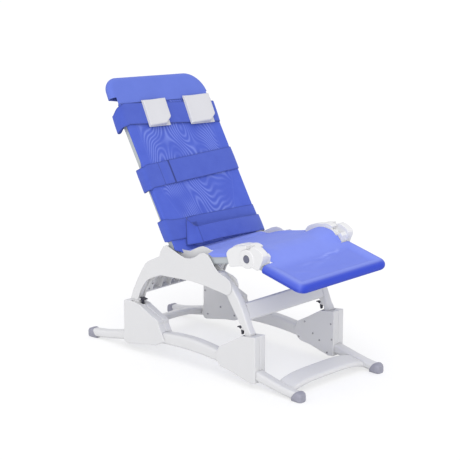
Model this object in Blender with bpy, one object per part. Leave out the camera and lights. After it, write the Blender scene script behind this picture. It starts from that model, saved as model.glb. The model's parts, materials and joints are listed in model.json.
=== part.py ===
"""Paediatric bath chair on a tub stand, modelled in metres.

+Z is up and the chair faces -Y. The origin is on the floor, midway between the four feet.
Right and left are the occupant's, so the right side is at -X.
"""

import math

import bmesh
import bpy
from mathutils import Vector

# Clearances
GAP = 0.0003            # between pieces that rest on each other
SLIDE_CLEAR = 0.0006    # round a leg in its cup
PIN_CLEAR = 0.0006      # round a pivot pin in its hole

# Tub stand
TRACK = 0.390           # between the centres of the two rails
RAIL_HALF = 0.470       # from the middle of a rail to its end
RAIL_BOW = 0.057        # rise of the rail's underside at mid length
RAIL_END_Z = 0.006      # underside of the rail at its end
RAIL_H_MID = 0.044
RAIL_H_END = 0.026
RAIL_W_MID = 0.040
RAIL_W_END = 0.035
RAIL_END_SLANT = 0.70   # the rail's end leans out towards the top
FOOT_LENGTH = 0.033
FOOT_COVER = 0.0012     # how far the rubber foot stands proud of the rail
FRONT_CROSS_Y = -0.412
FRONT_CROSS_W = 0.066
FRONT_CROSS_T = 0.018
REAR_CROSS_Y = 0.335
REAR_CROSS_W = 0.042
REAR_CROSS_T = 0.026
CROSS_RISE = 0.017      # arch of a cross member above its ends

# Leg cups
CUP_W = 0.051
CUP_WALL_UNDER_RAIL = 0.007
MOUTH_Z = 0.178
SOCKET_FLOOR_Z = 0.086
GASKET_T = 0.0026
GASKET_H = 0.007
SCREW_R = 0.0028
SCREW_H = 0.0012
SCREW_ROOT = 0.0010     # how far a head reaches into the face under it

# Screws on the inner face of each cup, as (from the leg towards the middle, height)
FRONT_CUP_SCREWS = (
    (0.086, 0.118),
    (-0.031, 0.134),
    (0.049, 0.084),
    (0.113, 0.058),
    (0.019, 0.066),
    (-0.036, 0.080),
    (-0.016, 0.030),
)
REAR_CUP_SCREWS = ((-0.035, 0.130), (0.042, 0.084), (-0.022, 0.045), (0.110, 0.066))

# Legs
FRONT_LEG_Y = -0.271    # where the front legs stand in their cups
REAR_LEG_Y = 0.258
LEG_D = 0.028           # front to back, in the cup
LEG_TOP_D = 0.022       # front to back, inside the arch
LEG_W = 0.0284

# Side arches
ARCH_W = 0.036          # over both shells
SHELL_T = 0.0035
WEB_T = 0.0045          # along the arch's underside and the back of its rear leg
ARCH_FOOT_Z = 0.190
UNDERSIDE_Z = 0.305

# Pivots
BACK_PIVOT_Y = 0.090
BACK_PIVOT_Z = 0.370
SEAT_PIVOT_Y = -0.072
SEAT_PIVOT_Z = 0.389
PIN_R = 0.006
BACK_LEAN = 30.3        # degrees from upright
SEAT_TILT = 12.8        # degrees, knees up
CALF_DROP = 25.8        # degrees below the line of the seat

# Cross beams
FRONT_BEAM_H = 0.060
FRONT_BEAM_T = 0.020
REAR_BEAM_H = 0.064
REAR_BEAM_T = 0.024
REAR_BEAM_SKIN = 0.004
REAR_BEAM_CELLS = 7
REAR_BEAM_SCREWS = ((0.010, 0.018), (0.017, 0.004), (0.008, -0.016))  # (in from the end, up)

# Latch levers
FRONT_LEG_SLOPE = 1.0       # of the front leg's rear face where the lever sits
LATCH_W = 0.014
LATCH_BARREL_R = 0.0045
LATCH_REACH = 0.023         # of the finger tab from the lever's axis
CLAW_DROP = 0.021           # of the claw below the lever's axis
NOTCH_DEEP = 0.016          # of the cup's notch for the claw
EAR_T = 0.003

# Seat
SEAT_TUBE_W = 0.020
SEAT_TUBE_H = 0.032
SEAT_TUBE_BACK = 0.022
KNEE_S = 0.2125         # from the seat pivot to the knee pivot
SEAT_CROSS_R = 0.009
SLING_T = 0.005
SLING_HALF_W = 0.2085
SLING_NECK_HALF_W = 0.170   # between the arches
SLING_KNEE_HALF_W = 0.162   # between the knee hubs
SEAT_SLING_BACK = 0.094     # behind the seat pivot

# Knee hubs
HUB_IN = 0.027          # the hub's inner face, inwards from the rail centre
HUB_OUT = 0.027
HUB_CHEEK_T = 0.0065
CHEEK_PROUD = 0.0008
BOSS_R = 0.031
HUB_R = 0.044
BOSS_PROUD = 0.0025
KNEE_PIN_R = 0.008
BUTTON_R = 0.013
BUTTON_PROUD = 0.0018
BUTTON_DEPTH = 0.007
BUTTON_TRAVEL = 0.004

# Calf rest
CALF_TUBE_R = 0.0105
CALF_TUBE_X = 0.2005
CALF_TUBE_DROP = 0.0105     # below the knee pivot
CALF_FRONT = 0.2245         # from the knee pivot to the front bar
CALF_CORNER_R = 0.036
CALF_PAD_R = 0.0155         # the rolled edge round the tube
CALF_WEB_T = 0.006
CALF_COVER_START = -0.003   # just behind the knee pivot, under the seat cover
CALF_EDGE_START = 0.070

# Backrest
BACK_OFFSET = 0.0276    # the tube lies this far in front of the back pivot
BACK_TUBE_W = 0.020
BACK_TUBE_D = 0.026
BACK_TUBE_FOOT = 0.050
BACK_TOP = 0.588
BACK_CORNER_R = 0.095
HINGE_PLATE_T = 0.015
HINGE_EYE_R = 0.015
BACK_SLING_T = 0.004
BACK_SLING_HALF_W = 0.2095
BACK_SLING_FOOT = 0.012
BACK_SLING_WIDE = 0.056
POCKET_BACK_T = 0.0035
POCKET_TOP = 0.622
POCKET_HALF_W = 0.2225
POCKET_SHIFT = -0.005       # the loose cover hangs a little towards the right side
POCKET_RIGHT_R = 0.048
POCKET_LEFT_R = 0.088
POCKET_EDGE_FOOT = 0.548
HEAD_TURN = 4.5             # degrees, the cover and strap sit higher at the right side
HEAD_TURN_LEVEL = 0.55

# Straps
STRAP_T = 0.0025
HEAD_STRAP_FOOT = 0.442
HEAD_STRAP_W = 0.080
HEAD_STRAP_SIDE = 0.0035    # more room at the sides, because the strap is turned
CHEST_STRAP_FOOT = 0.232
CHEST_STRAP_W = 0.082
HIP_STRAP_FOOT = 0.050
HIP_STRAP_W = 0.064
HIP_BELT_FOOT = 0.012
HIP_BELT_W = 0.060
STRAP_SIDE_GAP = 0.003
CLIP_T = 0.002          # the bars of a head block behind the strap
BLOCK_W = 0.108
BLOCK_H = 0.104
BLOCK_PROUD = 0.043
BLOCK_WALL = 0.0035
BLOCK_RIGHT_X = 0.068
BLOCK_LEFT_X = 0.121

SIDES = (("right", -1.0), ("left", 1.0))
HALF_TRACK = TRACK / 2

for old in list(bpy.data.objects):
    bpy.data.objects.remove(old, do_unlink=True)


def make_material(name, colour, roughness, metallic=0.0):
    """Returns a plain Principled material."""
    mat = bpy.data.materials.new(name)
    mat.use_nodes = True
    bsdf = mat.node_tree.nodes["Principled BSDF"]
    bsdf.inputs["Base Color"].default_value = (*colour, 1.0)
    bsdf.inputs["Roughness"].default_value = roughness
    bsdf.inputs["Metallic"].default_value = metallic
    return mat


WHITE = ("white_plastic", (0.80, 0.80, 0.82), 0.35, 0.0)
TUBE = ("grey_tube", (0.50, 0.52, 0.54), 0.40, 0.0)
RUBBER = ("grey_rubber", (0.30, 0.30, 0.34), 0.75, 0.0)
BLACK = ("black_plastic", (0.04, 0.04, 0.06), 0.50, 0.0)
BUTTON = ("button_grey", (0.12, 0.12, 0.18), 0.45, 0.0)
STEEL = ("dark_steel", (0.20, 0.20, 0.22), 0.35, 0.9)
FABRIC = ("blue_fabric", (0.13, 0.20, 0.72), 0.85, 0.0)
MESH = ("blue_mesh", (0.09, 0.14, 0.62), 0.90, 0.0)
WEBBING = ("blue_webbing", (0.07, 0.12, 0.58), 0.90, 0.0)


def finish(obj, look, parent=None, smooth_angle=35.0):
    """Gives an object its own material, smooth round faces and a parent."""
    name, colour, roughness, metallic = look
    obj.data.materials.clear()
    obj.data.materials.append(make_material(f"{obj.name}_{name}", colour, roughness, metallic))
    obj.data.shade_smooth()
    obj.data.set_sharp_from_angle(angle=math.radians(smooth_angle))
    if parent is not None:
        obj.parent = parent
    return obj


def new_object(name, bm):
    """Turns a bmesh into an object whose faces point out."""
    bmesh.ops.recalc_face_normals(bm, faces=bm.faces)
    mesh = bpy.data.meshes.new(name)
    bm.to_mesh(mesh)
    bm.free()
    obj = bpy.data.objects.new(name, mesh)
    bpy.context.scene.collection.objects.link(obj)
    return obj


def add_loft(bm, rings, closed=False):
    """Skins a row of rings of equal length; an open row gets end caps."""
    rows = [[bm.verts.new(p) for p in ring] for ring in rings]
    pairs = list(zip(rows, rows[1:]))
    if closed:
        pairs.append((rows[-1], rows[0]))
    for a, b in pairs:
        count = len(a)
        for i in range(count):
            j = (i + 1) % count
            bm.faces.new((a[i], a[j], b[j], b[i]))
    if not closed:
        bm.faces.new(rows[0])
        bm.faces.new(list(reversed(rows[-1])))


def loft(name, rings, closed=False):
    """One body skinned over rings."""
    bm = bmesh.new()
    add_loft(bm, rings, closed)
    return new_object(name, bm)


def add_prism(bm, outline, x0, x1):
    """Extrudes a (y, z) outline from x0 to x1."""
    face = bm.faces.new([bm.verts.new((x0, y, z)) for y, z in outline])
    extruded = bmesh.ops.extrude_face_region(bm, geom=[face])
    moved = [g for g in extruded["geom"] if isinstance(g, bmesh.types.BMVert)]
    bmesh.ops.translate(bm, verts=moved, vec=(x1 - x0, 0.0, 0.0))


def prism(name, outline, x0, x1):
    """One body extruded along X."""
    bm = bmesh.new()
    add_prism(bm, outline, x0, x1)
    return new_object(name, bm)


def add_box(bm, x, y, z):
    """Adds a box from three (low, high) pairs."""
    size = [hi - lo for lo, hi in (x, y, z)]
    made = bmesh.ops.create_cube(bm, size=1.0)
    bmesh.ops.scale(bm, vec=size, verts=made["verts"])
    middle = [(hi + lo) / 2 for lo, hi in (x, y, z)]
    bmesh.ops.translate(bm, vec=middle, verts=made["verts"])


def box(name, x, y, z):
    """One box."""
    bm = bmesh.new()
    add_box(bm, x, y, z)
    return new_object(name, bm)


def circle(cy, cz, radius, count=20, start=0.0, stop=360.0):
    """Points on a circle, or on an arc with both of its ends."""
    whole = abs(stop - start) >= 360.0
    steps = count if whole else count - 1
    out = []
    for i in range(count):
        a = math.radians(start + (stop - start) * i / steps)
        out.append((cy + radius * math.cos(a), cz + radius * math.sin(a)))
    return out


def rounded_rect(width, height, radius, per_corner=3):
    """A rounded rectangle round the origin as (across, up) points."""
    radius = min(radius, width / 2 * 0.98, height / 2 * 0.98)
    out = []
    for sx, sz, start in ((1, 1, 0), (-1, 1, 90), (-1, -1, 180), (1, -1, 270)):
        cx = sx * (width / 2 - radius)
        cz = sz * (height / 2 - radius)
        for i in range(per_corner):
            a = math.radians(start + 90 * i / (per_corner - 1))
            out.append((cx + radius * math.cos(a), cz + radius * math.sin(a)))
    return out


def flatten_faces(obj):
    """Splits faces whose corners don't lie in one plane."""
    bm = bmesh.new()
    bm.from_mesh(obj.data)
    bmesh.ops.connect_verts_nonplanar(bm, angle_limit=0.0001, faces=bm.faces)
    bm.to_mesh(obj.data)
    bm.free()


def is_closed(mesh):
    """Tells whether every edge joins exactly two faces."""
    bm = bmesh.new()
    bm.from_mesh(mesh)
    closed = all(len(edge.link_faces) == 2 for edge in bm.edges)
    bm.free()
    return closed


def combine(target, other, operation):
    """Joins or cuts with another body, which is then removed.

    The exact solver comes first. Where it leaves an edge open, the manifold solver follows.
    """
    flatten_faces(target)
    flatten_faces(other)
    mod = target.modifiers.new("combine", "BOOLEAN")
    mod.operation = operation
    mod.object = other
    for solver in ("EXACT", "MANIFOLD"):
        mod.solver = solver
        bpy.context.view_layer.update()
        graph = bpy.context.evaluated_depsgraph_get()
        mesh = bpy.data.meshes.new_from_object(target.evaluated_get(graph))
        if is_closed(mesh):
            break
    target.modifiers.remove(mod)
    target.data = mesh
    bpy.data.objects.remove(other, do_unlink=True)
    return target


def cut(target, other):
    """Cuts another body out of the target."""
    return combine(target, other, "DIFFERENCE")


def union(target, other):
    """Joins another body to the target."""
    return combine(target, other, "UNION")


def screw_heads(target, feet, axis):
    """Joins low screw heads to a face of the piece that they hold."""
    axis = Vector(axis).normalized()
    turn = Vector((0, 0, 1)).rotation_difference(axis).to_matrix()
    for foot in feet:
        bm = bmesh.new()
        depth = SCREW_H + SCREW_ROOT
        made = bmesh.ops.create_cone(
            bm, cap_ends=True, segments=8, radius1=SCREW_R, radius2=SCREW_R * 0.8, depth=depth
        )
        bmesh.ops.rotate(bm, verts=made["verts"], matrix=turn)
        middle = Vector(foot) + axis * (depth / 2 - SCREW_ROOT)
        bmesh.ops.translate(bm, verts=made["verts"], vec=middle)
        union(target, new_object("screw", bm))
    return target


def inset(points, distance):
    """Moves a counter-clockwise outline inwards by a distance."""
    out = []
    count = len(points)
    for i in range(count):
        px, py = points[i - 1]
        cx, cy = points[i]
        nx, ny = points[(i + 1) % count]
        tx, ty = nx - px, ny - py
        length = math.hypot(tx, ty) or 1.0
        out.append((cx - ty / length * distance, cy + tx / length * distance))
    return out


# Tub stand


def rail_bottom(y):
    """Height of a rail's underside."""
    t = min(1.0, abs(y) / RAIL_HALF)
    return RAIL_END_Z + RAIL_BOW * (1.0 - t * t) ** 1.5


def rail_height(y):
    """Height of a rail's section."""
    t = min(1.0, abs(y) / RAIL_HALF)
    return RAIL_H_END + (RAIL_H_MID - RAIL_H_END) * (1.0 - t**1.2)


def rail_width(y):
    """Width of a rail's section."""
    t = min(1.0, abs(y) / RAIL_HALF)
    return RAIL_W_END + (RAIL_W_MID - RAIL_W_END) * (1.0 - t**2)


def rail_ring(x, y, grow=0.0, slant=0.0):
    """One section of a rail, grown outwards, its plane leaning by the slant."""
    height = rail_height(y)
    base = rail_bottom(y)
    middle = base + height / 2
    ring = []
    for a, b in rounded_rect(rail_width(y) + 2 * grow, height + 2 * grow, 0.010 + grow, 4):
        lean = slant * b * (1.0 if y > 0 else -1.0)
        ring.append((x + a, y + lean, middle + b))
    return ring


RAIL_STATIONS = 25
rail_ys = [RAIL_HALF * (2 * i / (RAIL_STATIONS - 1) - 1) for i in range(RAIL_STATIONS)]


def rail_rings(x, grow=0.0):
    """All the sections of a rail."""
    rings = []
    for y in rail_ys:
        end = abs(abs(y) - RAIL_HALF) < 1e-9
        rings.append(rail_ring(x, y, grow, RAIL_END_SLANT if end else 0.0))
    return rings


for side, sx in SIDES:
    x = sx * HALF_TRACK
    finish(loft(f"rail_{side}", rail_rings(x)), WHITE)
    for end, sy in (("front", -1.0), ("rear", 1.0)):
        y = sy * RAIL_HALF
        first = []
        for px, py, pz in rail_ring(x, y, FOOT_COVER, RAIL_END_SLANT):
            first.append((px, py + sy * GAP, pz))
        low = min(p[2] for p in first)
        rings = [first]
        top = RAIL_END_Z + RAIL_H_END + FOOT_COVER
        for share, narrow, lower in ((0.55, 0.0, 0.0), (0.85, 0.002, 0.003), (1.0, 0.006, 0.008)):
            height = top - lower
            ring = []
            width = RAIL_W_END + 2 * FOOT_COVER - 2 * narrow
            for a, b in rounded_rect(width, height, 0.007, 4):
                ring.append((x + a, y + sy * FOOT_LENGTH * share, height / 2 + b))
            rings.append(ring)
        rings[0] = [(px, py, 0.0 if pz < low + 0.004 else pz) for px, py, pz in rings[0]]
        finish(loft(f"rail_foot_{end}_{side}", rings), RUBBER)


def cross_member(name, y, width, thickness, slope):
    """A flat bar between the rails, arched in the middle."""
    reach = HALF_TRACK - rail_width(y) / 2 - GAP
    base = rail_bottom(y) + rail_height(y) / 2
    rings = []
    for i in range(13):
        t = 2 * i / 12 - 1
        rise = CROSS_RISE * (1 - t**4)
        ring = []
        for a, b in rounded_rect(width, thickness, thickness * 0.45, 4):
            ring.append((t * reach, y + a, base + rise + b + slope * a))
        rings.append(ring)
    finish(loft(name, rings), WHITE)


cross_member("cross_member_front", FRONT_CROSS_Y, FRONT_CROSS_W, FRONT_CROSS_T, 0.22)
cross_member("cross_member_rear", REAR_CROSS_Y, REAR_CROSS_W, REAR_CROSS_T, -0.22)


def cup_outline(end):
    """The (y, z) outline of a cup, counter-clockwise or clockwise alike."""
    if end == "front":
        ly = FRONT_LEG_Y
        face = ly - 0.043
        return [
            (face, MOUTH_Z + 0.002),
            (face, rail_bottom(face) - CUP_WALL_UNDER_RAIL),
            (ly - 0.020, rail_bottom(ly - 0.020) - 2 * CUP_WALL_UNDER_RAIL),
            (ly + 0.020, rail_bottom(ly + 0.020) - 1.6 * CUP_WALL_UNDER_RAIL),
            (ly + 0.060, rail_bottom(ly + 0.060) - CUP_WALL_UNDER_RAIL),
            (ly + 0.110, rail_bottom(ly + 0.110) - CUP_WALL_UNDER_RAIL),
            (ly + 0.131, rail_bottom(ly + 0.131) + 0.010),
            (ly + 0.137, MOUTH_Z - 0.097),
            (ly + 0.117, MOUTH_Z - 0.063),
            (ly + 0.075, MOUTH_Z - 0.040),
            (ly + 0.045, MOUTH_Z - 0.022),
            (ly + 0.018, MOUTH_Z - 0.006),
        ]
    ly = REAR_LEG_Y
    return [
        (ly + 0.045, MOUTH_Z),
        (ly + 0.045, MOUTH_Z - 0.097),
        (ly + 0.052, rail_bottom(ly + 0.052) + 0.010),
        (ly + 0.040, rail_bottom(ly + 0.040) - CUP_WALL_UNDER_RAIL),
        (ly + 0.030, rail_bottom(ly + 0.030) - 1.4 * CUP_WALL_UNDER_RAIL),
        (ly - 0.060, rail_bottom(ly - 0.060) - CUP_WALL_UNDER_RAIL),
        (ly - 0.110, rail_bottom(ly - 0.110) - CUP_WALL_UNDER_RAIL),
        (ly - 0.154, rail_bottom(ly - 0.154) + 0.012),
        (ly - 0.126, MOUTH_Z - 0.056),
        (ly - 0.126, MOUTH_Z - 0.042),
        (ly - 0.080, MOUTH_Z - 0.024),
        (ly - 0.034, MOUTH_Z - 0.002),
        (ly - 0.004, MOUTH_Z + 0.003),
    ]


def leg_y(end):
    """Where a leg stands."""
    return FRONT_LEG_Y if end == "front" else REAR_LEG_Y


LATCH_Z = MOUTH_Z + 0.0135
LATCH_OFFSET = LATCH_BARREL_R + 0.0012


def latch_pivot_y(end):
    """The lever's axis, just off the leg's face towards the middle, and that direction."""
    inward = 1.0 if end == "front" else -1.0
    face = leg_y(end) + inward * LEG_D / 2
    offset = LATCH_OFFSET
    if end == "front":
        face += FRONT_LEG_SLOPE * (LATCH_Z - MOUTH_Z - 0.006)
        offset *= math.hypot(1.0, FRONT_LEG_SLOPE)
    return face + inward * offset, inward


def socket_cutter(x, y):
    """The leg's socket with a wider mouth for the gasket."""
    half_w = LEG_W / 2 + SLIDE_CLEAR
    half_d = LEG_D / 2 + SLIDE_CLEAR
    body = box("cutter", (x - half_w, x + half_w), (y - half_d, y + half_d), (SOCKET_FLOOR_Z, MOUTH_Z + 0.05))
    grow = GASKET_T + GAP
    wide = box(
        "cutter_mouth",
        (x - half_w - grow, x + half_w + grow),
        (y - half_d - grow, y + half_d + grow),
        (MOUTH_Z - GASKET_H - 0.006, MOUTH_Z + 0.06),
    )
    union(body, wide)
    end = "front" if y < 0 else "rear"
    pivot, inward = latch_pivot_y(end)
    reach = sorted((y, pivot + inward * 0.014))
    half = LATCH_W / 2 + 0.0005
    notch_box = box("notch", (x - half, x + half), reach, (MOUTH_Z - NOTCH_DEEP, MOUTH_Z + 0.04))
    return union(body, notch_box)


for side, sx in SIDES:
    x = sx * HALF_TRACK
    for end in ("front", "rear"):
        outline = cup_outline(end)
        spans = {
            "outer": (x + sx * GAP / 2, x + sx * CUP_W / 2),
            "inner": (x - sx * GAP / 2, x - sx * CUP_W / 2),
        }
        for which, (x0, x1) in spans.items():
            half = prism(f"cup_{which}_{end}_{side}", outline, x0, x1)
            cut(half, loft("cutter_rail", rail_rings(x, GAP)))
            cut(half, socket_cutter(x, leg_y(end)))
            if which == "inner":
                inward = 1.0 if end == "front" else -1.0
                places = FRONT_CUP_SCREWS if end == "front" else REAR_CUP_SCREWS
                feet = [(x1, leg_y(end) + inward * out, z) for out, z in places]
                screw_heads(half, feet, (-sx, 0, 0))
            finish(half, WHITE)


def ring_box(name, x, y, wall, half_w, half_d, z0, z1):
    """A rectangular ring, skinned round its square section."""
    rings = []
    for cx, cy in ((-1, -1), (1, -1), (1, 1), (-1, 1)):
        inner = (x + cx * half_w, y + cy * half_d)
        outer = (x + cx * (half_w + wall), y + cy * (half_d + wall))
        rings.append([(*inner, z0), (*outer, z0), (*outer, z1), (*inner, z1)])
    return loft(name, rings, closed=True)


for side, sx in SIDES:
    for end in ("front", "rear"):
        low = MOUTH_Z - GASKET_H - 0.006 + GAP
        gasket = ring_box(
            f"cup_gasket_{end}_{side}",
            sx * HALF_TRACK,
            leg_y(end),
            GASKET_T,
            LEG_W / 2 + SLIDE_CLEAR,
            LEG_D / 2 + SLIDE_CLEAR,
            low,
            low + GASKET_H,
        )
        finish(gasket, RUBBER)


# Chair base

base_lift = bpy.data.objects.new("base_lift", None)
bpy.context.scene.collection.objects.link(base_lift)


def leg_rings(x, stations):
    """Sections of a leg from (height, front edge, back edge) stations."""
    rings = []
    for z, y0, y1 in stations:
        ring = []
        for a, b in rounded_rect(LEG_W, abs(y1 - y0), 0.006, 3):
            ring.append((x + a, (y0 + y1) / 2 + b, z))
        rings.append(ring)
    return rings


def front_leg_stations():
    """Heights with the front and back edge of a front leg, from its foot up."""
    y = FRONT_LEG_Y
    half = LEG_D / 2
    foot = SOCKET_FLOOR_Z + GAP
    return [
        (foot, y - half, y + half),
        (MOUTH_Z + 0.006, y - half, y + half),
        (MOUTH_Z + 0.022, y - half + 0.0115, y + half + 0.016 * FRONT_LEG_SLOPE),
        (MOUTH_Z + 0.062, y - half + 0.029, y + half + 0.046),
        (MOUTH_Z + 0.108, y - half + 0.054, y + half + 0.078),
        (MOUTH_Z + 0.140, y - half + 0.080, y + half + 0.104),
        (MOUTH_Z + 0.165, y - half + 0.108, y + half + 0.124),
        (MOUTH_Z + 0.183, y - half + 0.137, y + half + 0.140),
    ]


def rear_leg_stations():
    """Heights with the two edges of a rear leg, which ends inside the arch."""
    y = REAR_LEG_Y
    half = LEG_D / 2
    top = LEG_TOP_D / 2
    foot = SOCKET_FLOOR_Z + GAP
    return [
        (foot, y - half, y + half),
        (ARCH_FOOT_Z - 0.004, y - half, y + half),
        (ARCH_FOOT_Z - 0.002, y - top, y + top),
        (ARCH_FOOT_Z + 0.022, y - 0.009 - top, y - 0.009 + top),
        (ARCH_FOOT_Z + 0.054, y - 0.026 - top, y - 0.026 + top),
        (ARCH_FOOT_Z + 0.092, y - 0.046 - top, y - 0.046 + top),
        (ARCH_FOOT_Z + 0.112, y - 0.060 - top, y - 0.060 + top),
    ]


for side, sx in SIDES:
    x = sx * HALF_TRACK
    for end, stations in (("front", front_leg_stations()), ("rear", rear_leg_stations())):
        leg = loft(f"{end}_leg_{side}", leg_rings(x, stations))
        py, inward = latch_pivot_y(end)
        for ex in (-1.0, 1.0):
            inner = x + ex * (LATCH_W / 2 + GAP)
            ear = [
                (py - inward * 0.016, LATCH_Z - 0.0045),
                (py + inward * 0.001, LATCH_Z - 0.0035),
                (py + inward * 0.0035, LATCH_Z),
                (py + inward * 0.001, LATCH_Z + 0.0035),
                (py - inward * 0.016, LATCH_Z + 0.0045),
            ]
            union(leg, prism("ear", ear, inner, inner + ex * EAR_T))
        finish(leg, WHITE, base_lift)

for side, sx in SIDES:
    for end in ("front", "rear"):
        py, inward = latch_pivot_y(end)
        lever = prism(
            f"latch_{end}_{side}",
            circle(0.0, 0.0, LATCH_BARREL_R, 12),
            -LATCH_W / 2,
            LATCH_W / 2,
        )
        arm = [
            (0.0, 0.0038),
            (inward * 0.009, 0.0052),
            (inward * 0.017, 0.0040),
            (inward * LATCH_REACH, 0.0030),
            (inward * LATCH_REACH, -0.0004),
            (inward * 0.016, 0.0002),
            (inward * 0.0095, -0.0030),
            (0.0, -0.0030),
        ]
        union(lever, prism("arm", arm, -LATCH_W / 2 + 0.0005, LATCH_W / 2 - 0.0005))
        claw = [
            (inward * 0.0005, -0.0010),
            (inward * 0.0085, -0.0010),
            (inward * 0.0080, -0.0120),
            (inward * 0.0062, -CLAW_DROP),
            (inward * 0.0025, -CLAW_DROP - 0.0008),
            (inward * 0.0010, -CLAW_DROP + 0.0020),
            (inward * 0.0005, -0.0120),
        ]
        union(lever, prism("claw", claw, -LATCH_W / 2 + 0.003, LATCH_W / 2 - 0.003))
        lever.location = (sx * HALF_TRACK, py, LATCH_Z)
        finish(lever, BLACK, base_lift)

rear_foot = REAR_LEG_Y
front_foot = FRONT_LEG_Y
bp_y, bp_z = BACK_PIVOT_Y, BACK_PIVOT_Z
sp_y, sp_z = SEAT_PIVOT_Y, SEAT_PIVOT_Z

rear_edge = [
    (rear_foot + 0.017, ARCH_FOOT_Z),
    (rear_foot + 0.004, ARCH_FOOT_Z + 0.034),
    (rear_foot - 0.012, ARCH_FOOT_Z + 0.066),
    (rear_foot - 0.038, ARCH_FOOT_Z + 0.110),
    (rear_foot - 0.056, ARCH_FOOT_Z + 0.136),
    (rear_foot - 0.072, ARCH_FOOT_Z + 0.149),
]
outer_top = [
    (bp_y + 0.063, bp_z - 0.015),
    (bp_y + 0.043, bp_z - 0.005),
    (bp_y + 0.037, bp_z + 0.014),
    (bp_y + 0.024, bp_z + 0.032),
    (bp_y + 0.009, bp_z + 0.040),
    (bp_y - 0.023, bp_z + 0.029),
    (bp_y - 0.054, bp_z + 0.018),
    (bp_y - 0.078, bp_z + 0.0125),
    (sp_y + 0.058, sp_z - 0.004),
    (sp_y + 0.034, sp_z + 0.007),
    (sp_y + 0.014, sp_z + 0.022),
    (sp_y - 0.004, sp_z + 0.028),
    (sp_y - 0.022, sp_z + 0.024),
    (sp_y - 0.036, sp_z + 0.012),
    (sp_y - 0.053, sp_z - 0.010),
    (sp_y - 0.073, sp_z - 0.027),
]
inner_top = [
    (bp_y + 0.066, bp_z - 0.015),
    (bp_y + 0.050, bp_z + 0.002),
    (bp_y + 0.038, bp_z + 0.026),
    (bp_y + 0.024, bp_z + 0.036),
    (bp_y + 0.006, bp_z + 0.036),
    (bp_y - 0.013, bp_z + 0.030),
    (bp_y - 0.044, bp_z + 0.027),
    (bp_y - 0.071, bp_z + 0.029),
    (sp_y + 0.070, sp_z + 0.021),
    (sp_y + 0.050, sp_z + 0.031),
    (sp_y + 0.032, sp_z + 0.037),
    (sp_y + 0.012, sp_z + 0.036),
    (sp_y - 0.008, sp_z + 0.030),
    (sp_y - 0.022, sp_z + 0.014),
    (sp_y - 0.038, sp_z - 0.011),
    (sp_y - 0.066, sp_z - 0.027),
]
front_lobe = [
    (front_foot + 0.094, UNDERSIDE_Z + 0.048),
    (front_foot + 0.076, UNDERSIDE_Z + 0.039),
    (front_foot + 0.069, UNDERSIDE_Z + 0.024),
    (front_foot + 0.070, UNDERSIDE_Z + 0.006),
    (front_foot + 0.078, UNDERSIDE_Z - 0.006),
    (front_foot + 0.092, UNDERSIDE_Z - 0.011),
    (front_foot + 0.130, UNDERSIDE_Z - 0.006),
]
underside = [
    (front_foot + 0.189, UNDERSIDE_Z),
    (front_foot + 0.248, UNDERSIDE_Z + 0.003),
    (front_foot + 0.308, UNDERSIDE_Z),
    (front_foot + 0.354, UNDERSIDE_Z - 0.003),
    (rear_foot - 0.129, UNDERSIDE_Z - 0.006),
    (rear_foot - 0.098, UNDERSIDE_Z - 0.019),
    (rear_foot - 0.067, UNDERSIDE_Z - 0.034),
    (rear_foot - 0.047, UNDERSIDE_Z - 0.056),
    (rear_foot - 0.030, UNDERSIDE_Z - 0.082),
    (rear_foot - 0.017, ARCH_FOOT_Z),
]


def shift_inside(points, distance):
    """Moves an open run of points to its left by a distance."""
    out = []
    for i, (y, z) in enumerate(points):
        ay, az = points[max(0, i - 1)]
        by, bz = points[min(len(points) - 1, i + 1)]
        ty, tz = by - ay, bz - az
        length = math.hypot(ty, tz)
        out.append((y - tz / length * distance, z + ty / length * distance))
    return out


def run_on(a, b, z):
    """The point at a height on the line through two points."""
    return (a[0] + (b[0] - a[0]) * (z - a[1]) / (b[1] - a[1]), z)


def pocket_outline():
    """The space between the shells, open on top and at the front leg."""
    floor = shift_inside(underside, -WEB_T)
    floor[-1] = run_on(floor[-2], floor[-1], ARCH_FOOT_Z - 0.010)
    back = shift_inside(rear_edge, WEB_T)
    back[0] = run_on(back[1], back[0], ARCH_FOOT_Z - 0.010)
    opening = (rear_edge[-1][0] - 0.022, rear_edge[-1][1] + 0.005)
    return (
        [(floor[0][0] - 0.028, floor[0][1]), *floor]
        + back
        + [opening, (opening[0], sp_z + 0.10)]
        + [(front_foot - 0.05, sp_z + 0.10), (front_foot - 0.05, UNDERSIDE_Z - 0.06)]
        + [(floor[0][0] - 0.028, UNDERSIDE_Z - 0.06)]
    )


for side, sx in SIDES:
    for which, top in (("outer", outer_top), ("inner", inner_top)):
        out = 1.0 if which == "outer" else -1.0
        outline = rear_edge + top + front_lobe + underside
        middle = sx * (HALF_TRACK + out * GAP / 2)
        face = sx * (HALF_TRACK + out * ARCH_W / 2)
        shell = prism(f"arch_{which}_{side}", outline, middle, face)
        slot = sx * (HALF_TRACK + out * (ARCH_W / 2 - SHELL_T))
        beyond = sx * (HALF_TRACK - out * 0.01)
        cut(shell, prism("cutter", pocket_outline(), beyond, slot))
        if which == "inner":
            feet = [
                (face, FRONT_LEG_Y + 0.132, UNDERSIDE_Z + 0.040),
                (face, FRONT_LEG_Y + 0.094, UNDERSIDE_Z + 0.026),
            ]
            screw_heads(shell, feet, (-sx, 0, 0))
        finish(shell, WHITE, base_lift)

# Pivot pins, held between the two shells of each arch
PIN_HALF = ARCH_W / 2 - SHELL_T - GAP
for side, sx in SIDES:
    x = sx * HALF_TRACK
    back_round = circle(BACK_PIVOT_Y, BACK_PIVOT_Z, PIN_R, 12)
    finish(prism(f"back_pivot_pin_{side}", back_round, x - PIN_HALF, x + PIN_HALF), STEEL, base_lift)
    seat_round = circle(SEAT_PIVOT_Y, SEAT_PIVOT_Z, PIN_R, 12)
    finish(prism(f"seat_pivot_pin_{side}", seat_round, x - PIN_HALF, x + PIN_HALF), STEEL, base_lift)


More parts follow.
